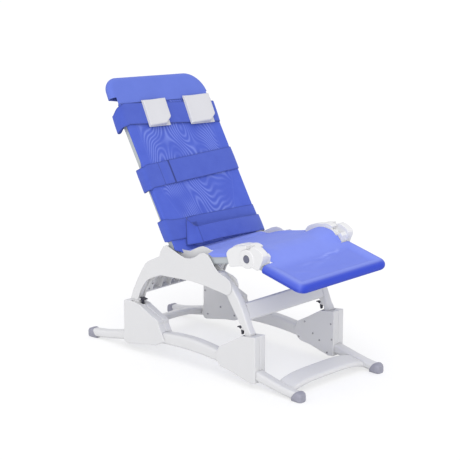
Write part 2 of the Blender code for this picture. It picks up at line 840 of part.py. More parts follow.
def slanted(points, cy, cz, degrees):
    """Turns (across, up) points about the X direction and places them."""
    a = math.radians(degrees)
    out = []
    for p, q in points:
        out.append((cy + p * math.cos(a) - q * math.sin(a), cz + p * math.sin(a) + q * math.cos(a)))
    return out


FRONT_BEAM_Z = MOUTH_Z + 0.065
front_beam_y = FRONT_LEG_Y + 0.031
beam_reach = HALF_TRACK - LEG_W / 2 - GAP
beam_section = slanted(
    rounded_rect(FRONT_BEAM_T, FRONT_BEAM_H, 0.007, 4), front_beam_y, FRONT_BEAM_Z, -23.0
)
finish(prism("front_beam", beam_section, -beam_reach, beam_reach), WHITE, base_lift)

REAR_BEAM_Z = ARCH_FOOT_Z + 0.052
REAR_BEAM_LEAN = 23.0
rear_beam_y = REAR_LEG_Y - 0.024
rear_reach = HALF_TRACK - ARCH_W / 2 - GAP
rear_section = slanted(
    rounded_rect(REAR_BEAM_T, REAR_BEAM_H, 0.005, 3), rear_beam_y, REAR_BEAM_Z, REAR_BEAM_LEAN
)
rear_beam = prism("rear_beam", rear_section, -rear_reach, rear_reach)
cell_pitch = (2 * rear_reach - 0.050) / REAR_BEAM_CELLS
cells = bmesh.new()
for i in range(REAR_BEAM_CELLS):
    start = -rear_reach + 0.025 + i * cell_pitch
    hollow = [
        (-REAR_BEAM_T, -REAR_BEAM_H / 2 + REAR_BEAM_SKIN + 0.003),
        (REAR_BEAM_T / 2 - REAR_BEAM_SKIN, -REAR_BEAM_H / 2 + REAR_BEAM_SKIN + 0.003),
        (REAR_BEAM_T / 2 - REAR_BEAM_SKIN, REAR_BEAM_H / 2 - REAR_BEAM_SKIN - 0.003),
        (-REAR_BEAM_T, REAR_BEAM_H / 2 - REAR_BEAM_SKIN - 0.003),
    ]
    section = slanted(hollow, rear_beam_y, REAR_BEAM_Z, REAR_BEAM_LEAN)
    add_prism(cells, section, start + 0.0015, start + cell_pitch - 0.0015)
cut(rear_beam, new_object("cutter", cells))
lean = math.radians(REAR_BEAM_LEAN)
beam_face = Vector((0.0, -math.cos(lean), -math.sin(lean)))
beam_up = Vector((0.0, -math.sin(lean), math.cos(lean)))
feet = []
for _, sx in SIDES:
    for out, up in REAR_BEAM_SCREWS:
        foot = Vector((sx * (rear_reach - out), rear_beam_y, REAR_BEAM_Z))
        feet.append(foot + beam_face * (REAR_BEAM_T / 2) + beam_up * up)
screw_heads(rear_beam, feet, beam_face)
finish(rear_beam, WHITE, base_lift)


# Seat, in the frame of the seat pivot: forward along the seat is -Y, square to it is +Z

seat_hinge = bpy.data.objects.new("seat_hinge", None)
bpy.context.scene.collection.objects.link(seat_hinge)
seat_hinge.parent = base_lift
seat_hinge.location = (0.0, SEAT_PIVOT_Y, SEAT_PIVOT_Z)
seat_hinge.rotation_euler = (math.radians(-SEAT_TILT), 0.0, 0.0)

SEAT_TUBE_END = KNEE_S - BOSS_R - 0.0115
for side, sx in SIDES:
    x = sx * HALF_TRACK
    rings = []
    for s in (-SEAT_TUBE_BACK, SEAT_TUBE_END):
        ring = []
        for a, b in rounded_rect(SEAT_TUBE_W, SEAT_TUBE_H, 0.0075, 4):
            ring.append((x + a, -s, b))
        rings.append(ring)
    tube = loft(f"seat_tube_{side}", rings)
    hole = prism("cutter", circle(0.0, 0.0, PIN_R + PIN_CLEAR, 12), x - 0.02, x + 0.02)
    cut(tube, hole)
    finish(tube, TUBE, seat_hinge)

knee_hinge = bpy.data.objects.new("knee_hinge", None)
bpy.context.scene.collection.objects.link(knee_hinge)
knee_hinge.parent = seat_hinge
knee_hinge.location = (0.0, -KNEE_S, 0.0)
knee_hinge.rotation_euler = (math.radians(CALF_DROP), 0.0, 0.0)


def polar(radius, degrees):
    """A point forward of and above the knee pivot as (forward, up)."""
    a = math.radians(degrees)
    return (radius * math.cos(a), radius * math.sin(a))


def arc(radius, start, stop, count):
    """Points on an arc about the knee pivot as (forward, up)."""
    return [polar(radius, start + (stop - start) * i / (count - 1)) for i in range(count)]


def forward(points, offset=0.0):
    """Turns (forward, up) points into (y, z) points, from a pivot ahead by the offset."""
    return [(-(offset + a), b) for a, b in points]


HUB_TAIL = KNEE_S - 0.124
NOTCH_R = BOSS_R + 0.0004
TUBE_HALF = SEAT_TUBE_H / 2
seat_half = (
    arc(NOTCH_R, 225.0, 84.0, 15)
    + arc(HUB_R, 84.0, 100.0, 3)
    + [
        (-0.030, HUB_R - 0.0005),
        (-0.058, HUB_R - 0.0035),
        (-HUB_TAIL + 0.014, HUB_R - 0.009),
        (-HUB_TAIL + 0.003, TUBE_HALF + 0.010),
        (-HUB_TAIL, TUBE_HALF + 0.003),
        (-HUB_TAIL + 0.005, -TUBE_HALF - 0.004),
        (-HUB_TAIL + 0.012, -TUBE_HALF - 0.007),
        (-0.036, -TUBE_HALF - 0.006),
    ]
)
seat_rim = (
    arc(NOTCH_R, 225.0, 46.0, 19)
    + arc(HUB_R + 0.001, 46.0, 100.0, 6)
    + [
        (-0.032, HUB_R + 0.003),
        (-0.060, HUB_R + 0.001),
        (-HUB_TAIL + 0.010, HUB_R - 0.004),
        (-HUB_TAIL - 0.002, TUBE_HALF + 0.014),
        (-HUB_TAIL - 0.005, TUBE_HALF + 0.004),
        (-HUB_TAIL + 0.001, -TUBE_HALF - 0.004),
        (-HUB_TAIL + 0.010, -TUBE_HALF - 0.0085),
        (-0.036, -TUBE_HALF - 0.0075),
    ]
)
lobe_top = [
    polar(HUB_R, 82.0),
    (0.0150, 0.0505),
    (0.0283, 0.0510),
    (0.0450, 0.0485),
    (0.0580, 0.0435),
    (0.0635, 0.0370),
    (0.0645, 0.0250),
    (0.0610, 0.0050),
    (0.0575, -0.0120),
    (0.0500, -0.0190),
]
lobe_tail = [polar(BOSS_R - 0.001, -42.0)]

for side, sx in SIDES:
    x_in = sx * (HALF_TRACK - HUB_IN)
    x_cheek = sx * (HALF_TRACK - HUB_IN + HUB_CHEEK_T)
    x_mid = sx * HALF_TRACK
    x_out = sx * (HALF_TRACK + HUB_OUT)
    hub = prism(f"knee_hub_seat_{side}", forward(seat_rim, KNEE_S), x_in, x_mid)
    union(hub, prism("outer_half", forward(seat_half, KNEE_S), x_mid - sx * 0.002, x_out))
    cheek = circle(-KNEE_S, 0.0, BOSS_R + 0.006, 32)
    union(hub, prism("cheek", cheek, x_in - sx * CHEEK_PROUD, x_cheek))
    pin_end = x_cheek + sx * 0.014
    union(hub, prism("pin", circle(-KNEE_S, 0.0, KNEE_PIN_R, 16), x_in + sx * 0.002, pin_end))
    rings = []
    for s in (KNEE_S - HUB_TAIL - 0.020, SEAT_TUBE_END + GAP):
        ring = []
        for a, b in rounded_rect(SEAT_TUBE_W + 2 * GAP, SEAT_TUBE_H + 2 * GAP, 0.0078, 4):
            ring.append((x_mid + a, -s, b))
        rings.append(ring)
    cut(hub, loft("cutter", rings))
    finish(hub, WHITE, seat_hinge)

    x_boss = x_out + sx * BOSS_PROUD
    x_back = x_cheek + sx * GAP
    calf_hub = prism(f"knee_hub_calf_{side}", circle(0.0, 0.0, BOSS_R, 40), x_back, x_boss)
    lobe = forward(arc(BOSS_R - 0.003, -42.0, 82.0, 7) + lobe_top)
    x_lobe = x_mid + sx * 0.0004
    union(calf_hub, prism("lobe", lobe, x_lobe, x_out))
    low_lobe = forward(
        arc(BOSS_R - 0.003, -42.0, 36.0, 5)
        + [(0.0480, 0.0330), (0.0580, 0.0270), (0.0600, 0.0050), (0.0575, -0.0120), (0.0500, -0.0190)]
    )
    union(calf_hub, prism("low_lobe", low_lobe, x_back + sx * 0.0006, x_mid + sx * 0.003))
    bore = circle(0.0, 0.0, KNEE_PIN_R + PIN_CLEAR, 16)
    cut(calf_hub, prism("cutter", bore, x_in, pin_end + sx * PIN_CLEAR))
    well = circle(0.0, 0.0, BUTTON_R + GAP, 24)
    floor = x_boss - sx * (BUTTON_DEPTH + BUTTON_TRAVEL)
    cut(calf_hub, prism("cutter", well, floor, x_boss + sx * 0.01))
    rings = []
    for c in (0.0160, 0.12):
        ring = []
        for a, b in circle(0.0, 0.0, CALF_TUBE_R + GAP, 12):
            ring.append((sx * CALF_TUBE_X + a, -c, -CALF_TUBE_DROP + b))
        rings.append(ring)
    cut(calf_hub, loft("cutter", rings))
    finish(calf_hub, WHITE, knee_hinge)

    face = x_boss + sx * BUTTON_PROUD
    back = x_boss - sx * BUTTON_DEPTH
    button = bmesh.new()
    rings = []
    for px, r in ((back, BUTTON_R), (face - sx * 0.0012, BUTTON_R), (face, BUTTON_R - 0.0016)):
        rings.append([(px - x_boss, a, b) for a, b in circle(0.0, 0.0, r, 24)])
    add_loft(button, rings)
    knob = new_object(f"knee_button_{side}", button)
    knob.location = (x_boss, 0.0, 0.0)
    finish(knob, BUTTON, knee_hinge)

cross_reach = HALF_TRACK - HUB_IN - GAP
cross_ring = circle(-(KNEE_S - 0.062), -0.004, SEAT_CROSS_R, 16)
finish(prism("seat_cross_tube", cross_ring, -cross_reach, cross_reach), TUBE, seat_hinge)


def smooth(t):
    """An S curve from 0 to 1."""
    t = max(0.0, min(1.0, t))
    return t * t * (3 - 2 * t)


def sheet(name, rows, shares):
    """A closed sheet from rows of (place, half width) and a function of each place.

    Each row is (half width, top point function, bottom point function); the functions take
    the place across from -1 to 1 and return a point.
    """
    tops = []
    bottoms = []
    bm = bmesh.new()
    for half, top, bottom in rows:
        tops.append([bm.verts.new(top(half * t)) for t in shares])
        bottoms.append([bm.verts.new(bottom(half * t)) for t in shares])
    last = len(shares) - 1
    for i in range(len(rows) - 1):
        for j in range(last):
            bm.faces.new((tops[i][j], tops[i][j + 1], tops[i + 1][j + 1], tops[i + 1][j]))
            bm.faces.new((bottoms[i][j], bottoms[i + 1][j], bottoms[i + 1][j + 1], bottoms[i][j + 1]))
        bm.faces.new((tops[i][0], tops[i + 1][0], bottoms[i + 1][0], bottoms[i][0]))
        bm.faces.new((tops[i][last], bottoms[i][last], bottoms[i + 1][last], tops[i + 1][last]))
    for j in range(last):
        bm.faces.new((tops[0][j], bottoms[0][j], bottoms[0][j + 1], tops[0][j + 1]))
        bm.faces.new((tops[-1][j], tops[-1][j + 1], bottoms[-1][j + 1], bottoms[-1][j]))
    return new_object(name, bm)


# The seat cover lies on the tubes and narrows between the arches and between the hubs
SLING_LEVEL = TUBE_HALF + GAP
neck_end = 0.054
hub_start = KNEE_S - HUB_TAIL - 0.010
SLING_FRONT = KNEE_S + 0.002
sling_rows = []
for s, half in (
    (-SEAT_SLING_BACK, SLING_NECK_HALF_W - 0.006),
    (-SEAT_SLING_BACK + 0.006, SLING_NECK_HALF_W),
    (-0.060, SLING_NECK_HALF_W),
    (-0.025, SLING_NECK_HALF_W),
    (0.015, SLING_NECK_HALF_W),
    (neck_end, SLING_NECK_HALF_W),
    (neck_end + 0.012, SLING_HALF_W - 0.004),
    (neck_end + 0.018, SLING_HALF_W),
    ((neck_end + hub_start) / 2 + 0.006, SLING_HALF_W),
    (hub_start - 0.004, SLING_HALF_W),
    (hub_start, SLING_HALF_W - 0.005),
    (hub_start + 0.002, SLING_KNEE_HALF_W),
    (hub_start + 0.026, SLING_KNEE_HALF_W),
    (hub_start + 0.046, SLING_KNEE_HALF_W),
    (SLING_FRONT - 0.020, SLING_KNEE_HALF_W),
    (SLING_FRONT - 0.004, SLING_KNEE_HALF_W),
    (SLING_FRONT, SLING_KNEE_HALF_W - 0.003),
):
    flat = smooth((s - hub_start) / (SLING_FRONT - hub_start))
    crown = 0.0035 * (1 - flat)
    thin = 0.0015 if s == SLING_FRONT else 0.0

    def top(x, s=s, crown=crown, thin=thin):
        """The cover's upper face."""
        bow = crown * (1 - (x / SLING_HALF_W) ** 2)
        return (x, -s, SLING_LEVEL + SLING_T - thin + bow)

    def bottom(x, s=s, crown=crown):
        """The cover's lower face."""
        bow = crown * (1 - (x / SLING_HALF_W) ** 2)
        return (x, -s, SLING_LEVEL + bow)

    sling_rows.append((half, top, bottom))
sling_shares = (-1.0, -0.94, -0.75, -0.5, -0.25, 0.0, 0.25, 0.5, 0.75, 0.94, 1.0)
finish(sheet("seat_sling", sling_rows, sling_shares), FABRIC, seat_hinge)


# Calf rest, in the frame of the knee pivot: along the calf is -Y, square to it is +Z


def u_path(half, foot, top, radius, per_corner):
    """A U-shaped run of (across, along) points with round corners."""
    points = [(-half, foot), (-half, (foot + top - radius) / 2)]
    for i in range(per_corner):
        a = math.radians(180 - 90 * i / (per_corner - 1))
        points.append((-half + radius + radius * math.cos(a), top - radius + radius * math.sin(a)))
    points.append((0.0, top))
    for i in range(per_corner):
        a = math.radians(90 - 90 * i / (per_corner - 1))
        points.append((half - radius + radius * math.cos(a), top - radius + radius * math.sin(a)))
    points += [(half, (foot + top - radius) / 2), (half, foot)]
    return points


def sweep_rings(path, section):
    """Sections (sideways, square to the path's plane) along a flat path."""
    rings = []
    for i, (px, py) in enumerate(path):
        ax, ay = path[max(0, i - 1)]
        bx, by = path[min(len(path) - 1, i + 1)]
        tx, ty = bx - ax, by - ay
        length = math.hypot(tx, ty)
        nx, ny = ty / length, -tx / length
        rings.append([(px + nx * a, py + ny * a, b) for a, b in section])
    return rings


def place_calf(rings):
    """(across, along, square) to the knee frame."""
    return [[(x, -c, k - CALF_TUBE_DROP) for x, c, k in ring] for ring in rings]


calf_path = u_path(CALF_TUBE_X, 0.0166, CALF_FRONT, CALF_CORNER_R, 6)
calf_tube = sweep_rings(calf_path, circle(0.0, 0.0, CALF_TUBE_R, 12))
finish(loft("calf_frame", place_calf(calf_tube)), TUBE, knee_hinge)


def edge_distance(x, c):
    """Distance from a point of the calf cover to the line of its tube."""
    best = 1.0
    for (ax, ay), (bx, by) in zip(calf_path, calf_path[1:]):
        dx, dy = bx - ax, by - ay
        t = ((x - ax) * dx + (c - ay) * dy) / (dx * dx + dy * dy)
        t = max(0.0, min(1.0, t))
        best = min(best, math.hypot(x - ax - t * dx, c - ay - t * dy))
    return best


def pad_half(x, c):
    """Half the cover's thickness: rolled round the tube, thin between."""
    near_tube = c > CALF_EDGE_START - 0.012
    d = edge_distance(x, c) if near_tube else 1.0
    roll = math.sqrt(max(0.0, CALF_PAD_R**2 - d * d)) if d < CALF_PAD_R else 0.0
    flare = 0.012 * math.exp(-((max(0.0, d - 0.004) / 0.030) ** 2))
    return max(CALF_WEB_T / 2, min(CALF_PAD_R, max(roll, flare if near_tube else 0.0)))


CALF_NECK_HALF_W = SLING_KNEE_HALF_W
outer_edge = CALF_TUBE_X + CALF_PAD_R
corner = CALF_CORNER_R + CALF_PAD_R
front_edge = CALF_FRONT + CALF_PAD_R


def calf_half_width(c):
    """Half the cover's width at a distance from the knee."""
    if c < CALF_EDGE_START:
        return CALF_NECK_HALF_W
    over = c - (front_edge - corner)
    if over <= 0:
        return outer_edge
    return outer_edge - corner + math.sqrt(max(0.0, corner**2 - over**2))


def calf_level(x, c):
    """Middle of the cover: at the tube's level out there, up under the seat cover at the knee."""
    high = SLING_LEVEL - 2 * GAP - CALF_WEB_T / 2
    ease = smooth((c - 0.010) / (CALF_EDGE_START + 0.030))
    return high + (-CALF_TUBE_DROP - high) * ease


calf_rows = []
for c in (
    CALF_COVER_START,
    0.014,
    0.034,
    0.054,
    CALF_EDGE_START - 0.012,
    CALF_EDGE_START - 0.0001,
    CALF_EDGE_START,
    CALF_EDGE_START + 0.004,
    0.125,
    0.155,
    0.180,
    0.197,
    0.210,
    0.2195,
    0.2275,
    0.2345,
    0.2385,
    front_edge - 0.0002,
):
    def top(x, c=c):
        """The cover's upper face."""
        return (x, -c, calf_level(x, c) + calf_half_at(x, c))

    def bottom(x, c=c):
        """The cover's lower face."""
        return (x, -c, calf_level(x, c) - calf_half_at(x, c))

    calf_rows.append((calf_half_width(c), top, bottom))


def calf_half_at(x, c):
    """Half the thickness, drawn in at the rolled rim."""
    half = calf_half_width(c)
    if c < CALF_EDGE_START:
        return CALF_WEB_T / 2
    rim = min(half - abs(x), front_edge - c)
    if rim < CALF_PAD_R:
        d = CALF_PAD_R - max(0.0, rim)
        return max(0.0012, math.sqrt(max(0.0, CALF_PAD_R**2 - d * d)))
    return pad_half(x, c)


calf_shares = (
    -1.0, -0.992, -0.965, -0.93, -0.895, -0.86, -0.70, -0.45, -0.2,
    0.0, 0.2, 0.45, 0.70, 0.86, 0.895, 0.93, 0.965, 0.992, 1.0,
)
calf_cover = sheet("calf_cover", calf_rows, calf_shares)
tunnel = sweep_rings(
    u_path(CALF_TUBE_X, 0.0, CALF_FRONT, CALF_CORNER_R, 6), circle(0.0, 0.0, CALF_TUBE_R + GAP, 12)
)
cut(calf_cover, loft("cutter", place_calf(tunnel)))
finish(calf_cover, FABRIC, knee_hinge)


# Backrest, in the frame of the back pivot: up the back is +Z, towards the occupant is -Y

back_hinge = bpy.data.objects.new("back_hinge", None)
bpy.context.scene.collection.objects.link(back_hinge)
back_hinge.parent = base_lift
back_hinge.location = (0.0, BACK_PIVOT_Y, BACK_PIVOT_Z)
back_hinge.rotation_euler = (math.radians(-BACK_LEAN), 0.0, 0.0)


def place_back(rings, offset=BACK_OFFSET):
    """(across, up the back, towards the occupant) to the back frame."""
    return [[(x, -(n + offset), u) for x, u, n in ring] for ring in rings]


back_path = u_path(HALF_TRACK, BACK_TUBE_FOOT, BACK_TOP, BACK_CORNER_R, 7)
tube_section = rounded_rect(BACK_TUBE_W, BACK_TUBE_D, 0.0075, 4)
finish(loft("back_frame", place_back(sweep_rings(back_path, tube_section))), TUBE, back_hinge)

for side, sx in SIDES:
    x = sx * HALF_TRACK
    rear_n = BACK_OFFSET - BACK_TUBE_D / 2
    front_n = BACK_OFFSET + BACK_TUBE_D / 2
    head = BACK_TUBE_FOOT - GAP
    eye = [(-n, u) for n, u in circle(0.0, 0.0, HINGE_EYE_R, 16, 150.0, 330.0)]
    outline = eye + [(-front_n, head - 0.020), (-front_n, head), (-rear_n, head), (-rear_n, head - 0.012)]
    half = HINGE_PLATE_T / 2
    plate = prism(f"back_hinge_plate_{side}", outline, x - half, x + half)
    cut(plate, prism("cutter", circle(0.0, 0.0, PIN_R + PIN_CLEAR, 12), x - 0.02, x + 0.02))
    finish(plate, TUBE, back_hinge)

POCKET_FOOT = HEAD_STRAP_FOOT + HEAD_STRAP_W + 0.002
head_turn = math.radians(HEAD_TURN)
tube_front = BACK_OFFSET + BACK_TUBE_D / 2
sling_back = tube_front + GAP
sling_front = sling_back + BACK_SLING_T
tube_side = HALF_TRACK + BACK_TUBE_W / 2
lip_inside = tube_side + GAP


def back_row(u, half, lipped):
    """One level of the mesh panel as a ring: front face, edges and back face."""
    lip = sling_back - (0.011 if lipped else 0.0)
    lip_x = min(lip_inside, half - 0.0012)
    ring = []
    for t in (-1.0, -0.66, -0.33, 0.0, 0.33, 0.66, 1.0):
        ring.append((half * t, -(sling_front - (0.0012 if abs(t) == 1.0 else 0.0)), u))
    ring += [
        (half, -(lip if lipped else sling_back), u),
        (lip_x, -(lip if lipped else sling_back), u),
        (lip_x - 0.0003 if lipped else lip_x - 0.002, -sling_back, u),
        (0.0, -sling_back, u),
        (-lip_x + 0.0003 if lipped else -lip_x + 0.002, -sling_back, u),
        (-lip_x, -(lip if lipped else sling_back), u),
        (-half, -(lip if lipped else sling_back), u),
    ]
    return ring


rows = []
for u, half in (
    (BACK_SLING_FOOT, SLING_NECK_HALF_W - 0.004),
    (BACK_SLING_FOOT + 0.006, SLING_NECK_HALF_W),
    (BACK_SLING_WIDE - 0.010, SLING_NECK_HALF_W),
):
    ring = []
    for t in (-1.0, -0.66, -0.33, 0.0, 0.33, 0.66, 1.0):
        ring.append((half * t, -sling_front, u))
    for t in (1.0, 0.99, 0.985, 0.0, -0.985, -0.99, -1.0):
        ring.append((half * t, -(sling_front - 0.001 if abs(t) == 1.0 else sling_back), u))
    rows.append(ring)
rows.append(back_row(BACK_SLING_WIDE, BACK_SLING_HALF_W, False))
for u in (BACK_SLING_WIDE + 0.006, 0.16, 0.27, 0.38):
    rows.append(back_row(u, BACK_SLING_HALF_W, True))
head_row = []
for x, y, u in back_row(POCKET_FOOT, BACK_SLING_HALF_W, True):
    head_row.append((x, y, u - 3 * GAP - x * math.tan(head_turn)))
rows.append(head_row)
finish(loft("back_sling", rows), MESH, back_hinge)

def turned(points):
    """Turns (across, up) points of the head end about its middle."""
    out = []
    for x, u in points:
        rise = u - HEAD_TURN_LEVEL
        across = x * math.cos(head_turn) + rise * math.sin(head_turn)
        out.append((across, HEAD_TURN_LEVEL - x * math.sin(head_turn) + rise * math.cos(head_turn)))
    return out


right_x = POCKET_SHIFT - POCKET_HALF_W
left_x = POCKET_SHIFT + POCKET_HALF_W
notch = HALF_TRACK - BACK_TUBE_W / 2 - 0.006
outline = [(notch, POCKET_FOOT), (notch, POCKET_EDGE_FOOT - 0.008)]
outline += [(notch + 0.008, POCKET_EDGE_FOOT), (left_x - 0.005, POCKET_EDGE_FOOT)]
arc_foot = POCKET_TOP - POCKET_LEFT_R
for y, z in circle(left_x - POCKET_LEFT_R, arc_foot, POCKET_LEFT_R, 9, 0.0, 90.0):
    if z > POCKET_EDGE_FOOT + 0.003:
        outline.append((y, z))
outline += circle(right_x + POCKET_RIGHT_R, POCKET_TOP - POCKET_RIGHT_R, POCKET_RIGHT_R, 7, 90.0, 180.0)
outline += [(right_x, POCKET_EDGE_FOOT + 0.004), (right_x + 0.004, POCKET_EDGE_FOOT)]
outline += [(-notch - 0.008, POCKET_EDGE_FOOT), (-notch, POCKET_EDGE_FOOT - 0.008), (-notch, POCKET_FOOT)]
rings = []
pocket_rear = BACK_OFFSET - BACK_TUBE_D / 2 - POCKET_BACK_T
for n, draw in (
    (pocket_rear, 0.006),
    (pocket_rear + 0.004, 0.0015),
    (pocket_rear + 0.010, 0.0),
    (sling_front - 0.008, 0.0),
    (sling_front - 0.002, 0.0025),
    (sling_front, 0.008),
):
    level = []
    for (x, u), (ix, iu) in zip(outline, inset(outline, draw)):
        on_foot = abs(u - POCKET_FOOT) < 1e-9
        level.append((x - math.copysign(draw * 0.5, x), u) if on_foot else (ix, iu))
    rings.append([(x, -n, u) for x, u in turned(level)])
pocket = loft("back_pocket", rings)
tunnel_section = rounded_rect(BACK_TUBE_W + 2 * GAP, BACK_TUBE_D + 2 * GAP, 0.0078, 4)
tunnel_path = u_path(HALF_TRACK, POCKET_FOOT - 0.05, BACK_TOP, BACK_CORNER_R, 7)
cut(pocket, loft("cutter", place_back(sweep_rings(tunnel_path, tunnel_section))))
finish(pocket, FABRIC, back_hinge)


# Straps


head_group = bpy.data.objects.new("head_group", None)
bpy.context.scene.collection.objects.link(head_group)
head_group.parent = back_hinge
head_group.location = (0.0, 0.0, HEAD_STRAP_FOOT + HEAD_STRAP_W / 2)
head_group.rotation_euler = (0.0, head_turn, 0.0)


def closed_band(name, loop, foot, width):
    """A band round the back from (across, outwards n, thickness) stations."""
    rings = []
    count = len(loop)
    for i in range(count):
        ax, an, _ = loop[i - 1]
        px, pn, thick = loop[i]
        bx, bn, _ = loop[(i + 1) % count]
        tx, tn = bx - ax, bn - an
        length = math.hypot(tx, tn)
        ox, on = -tn / length, tx / length
        inner = (px - ox * 0.0, pn - on * 0.0)
        outer = (px + ox * thick, pn + on * thick)
        rings.append(
            [
                (inner[0], -inner[1], foot),
                (outer[0], -outer[1], foot),
                (outer[0], -outer[1], foot + width),
                (inner[0], -inner[1], foot + width),
            ]
        )
    return loft(name, rings, closed=True)


band_side = BACK_SLING_HALF_W + STRAP_SIDE_GAP
band_rear = BACK_OFFSET - BACK_TUBE_D / 2 - GAP


def band_loop(front, thick, near_out, near_rear, more=0.0):
    """Stations round the backrest from its right front corner, with more room at the sides."""
    band_x = BACK_SLING_HALF_W + STRAP_SIDE_GAP + more
    return [
        (-band_x + 0.010, front, thick),
        (-0.122, front, thick),
        (-0.110, front, thick),
        (0.0, front, thick),
        (0.12, front, thick),
        (band_x - 0.010, front, thick),
        (band_x - 0.0015, front - 0.0015, thick),
        (band_x, front - 0.009, thick),
        (band_x, band_rear + 0.006, thick),
        (band_x - 0.006, band_rear, thick),
        (0.0, band_rear, thick),
        (-band_x + 0.012, band_rear, thick),
        (-band_x - near_out * 0.8, band_rear - near_rear, thick),
        (-band_x - near_out, (front + band_rear) / 2 - 0.006, thick),
        (-band_x - near_out * 0.5, front - 0.006, thick),
        (-band_x + 0.0015, front - 0.0015, thick),
    ]


strap_level = sling_front + CLIP_T + 3 * GAP
head_loop = band_loop(strap_level, STRAP_T, 0.013, 0.004, HEAD_STRAP_SIDE)
strap_low = -HEAD_STRAP_W / 2
finish(closed_band("head_strap", head_loop, strap_low, HEAD_STRAP_W), WEBBING, head_group)
chest = band_loop(sling_front + GAP, STRAP_T, 0.007, 0.003)
chest[2:6] = [(x, n, STRAP_T * 2) for x, n, _ in chest[2:6]]
finish(closed_band("chest_strap", chest, CHEST_STRAP_FOOT, CHEST_STRAP_W), WEBBING, back_hinge)
hip_loop = band_loop(sling_front + GAP, STRAP_T, 0.003, 0.0)
hip_strap = closed_band("hip_strap", hip_loop, HIP_STRAP_FOOT, HIP_STRAP_W)


def open_band(name, run, foot, width):
    """A strip standing off the back, from (across, n) stations."""
    rings = []
    for i, (px, pn) in enumerate(run):
        ax, an = run[max(0, i - 1)]
        bx, bn = run[min(len(run) - 1, i + 1)]
        tx, tn = bx - ax, bn - an
        length = math.hypot(tx, tn)
        ox, on = -tn / length * STRAP_T / 2, tx / length * STRAP_T / 2
        rings.append(
            [
                (px - ox, -(pn - on), foot),
                (px + ox, -(pn + on), foot),
                (px + ox, -(pn + on), foot + width),
                (px - ox, -(pn - on), foot + width),
            ]
        )
    return loft(name, rings)


hip_front = sling_front + GAP + STRAP_T
belt = [
    (-0.060, hip_front + STRAP_T / 2 - 0.0007),
    (-0.088, hip_front + STRAP_T / 2 - 0.0002),
    (-0.102, hip_front + 0.010),
    (-0.114, hip_front + 0.026),
    (-0.118, hip_front + 0.036),
    (-0.108, hip_front + 0.042),
    (-0.060, hip_front + 0.044),
    (0.000, hip_front + 0.043),
    (0.070, hip_front + 0.036),
    (0.130, hip_front + 0.026),
    (0.175, hip_front + 0.015),
    (0.200, hip_front + 0.0065),
    (band_side + 0.0045, hip_front - 0.002),
    (band_side + STRAP_T + STRAP_T / 2 + 0.001, hip_front - 0.012),
]
union(hip_strap, open_band("belt", belt, HIP_BELT_FOOT, HIP_BELT_W))
finish(hip_strap, WEBBING, back_hinge)


# Head blocks: a hollow plastic wedge, higher at its outer side, clipped on the head strap

block_base = strap_level + STRAP_T + GAP
block_foot = strap_low + HEAD_STRAP_W / 2 - BLOCK_H / 2
block_head = block_foot + BLOCK_H


def block_profile(wall, level):
    """(outwards, n) outline of a head block, drawn in by a wall and shrunk to a level."""
    half = BLOCK_W / 2 - wall
    tall = BLOCK_PROUD * level - wall
    return [
        (-half, block_base),
        (-half + 0.004, block_base + 0.30 * tall),
        (-half * 0.45, block_base + 0.62 * tall),
        (half * 0.15, block_base + 0.90 * tall),
        (half * 0.55, block_base + tall),
        (half * 0.86, block_base + 0.92 * tall),
        (half * 0.98, block_base + 0.62 * tall),
        (half, block_base),
    ]


for side, sx in SIDES:
    centre = -BLOCK_RIGHT_X if side == "right" else BLOCK_LEFT_X
    rings = []
    for u, level in ((block_foot, 0.62), (block_foot + 0.022, 0.94), (block_foot + 0.07, 1.0), (block_head, 0.95)):
        rings.append([(sx * a, -n, u) for a, n in block_profile(0.0, level)])
    block = loft(f"head_block_{side}", rings)
    rings = []
    for u, level in (
        (block_foot + BLOCK_WALL, 0.66),
        (block_foot + 0.024, 0.94),
        (block_foot + 0.07, 1.0),
        (block_head - BLOCK_WALL, 0.95),
    ):
        ring = []
        for a, n in block_profile(BLOCK_WALL, level):
            ring.append((sx * a, -(n if n > block_base + 1e-6 else n - 0.004), u))
        rings.append(ring)
    cut(block, loft("cutter", rings))
    clip_n0 = sling_front + GAP
    clip_n1 = clip_n0 + CLIP_T
    strap_foot = strap_low - GAP
    strap_head = strap_low + HEAD_STRAP_W + GAP
    root = block_base + 0.003
    clip_foot = block_foot + 0.0008
    clip_head = block_head - 0.0008
    clip = [
        (-root, clip_foot),
        (-clip_n0, clip_foot),
        (-clip_n0, clip_head),
        (-root, clip_head),
        (-root, strap_head),
        (-clip_n1, strap_head),
        (-clip_n1, strap_foot),
        (-root, strap_foot),
    ]
    for cx in (-1.0, 1.0):
        middle = cx * (BLOCK_W / 2 - 0.012)
        union(block, prism("clip", clip, middle - 0.008, middle + 0.008))
    block.location = (centre, 0.0, 0.0)
    finish(block, WHITE, head_group)

bpy.context.view_layer.update()
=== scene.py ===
"""Looks of a low reclining bath chair for a child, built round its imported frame.

The chair faces -Y and stands on the floor at z = 0. Right and left are the occupant's, so the
right side is at -X. All sizes are in metres.
"""

from __future__ import annotations

import json
import logging
import math
from collections.abc import Callable, Sequence
from dataclasses import dataclass, field
from enum import Enum

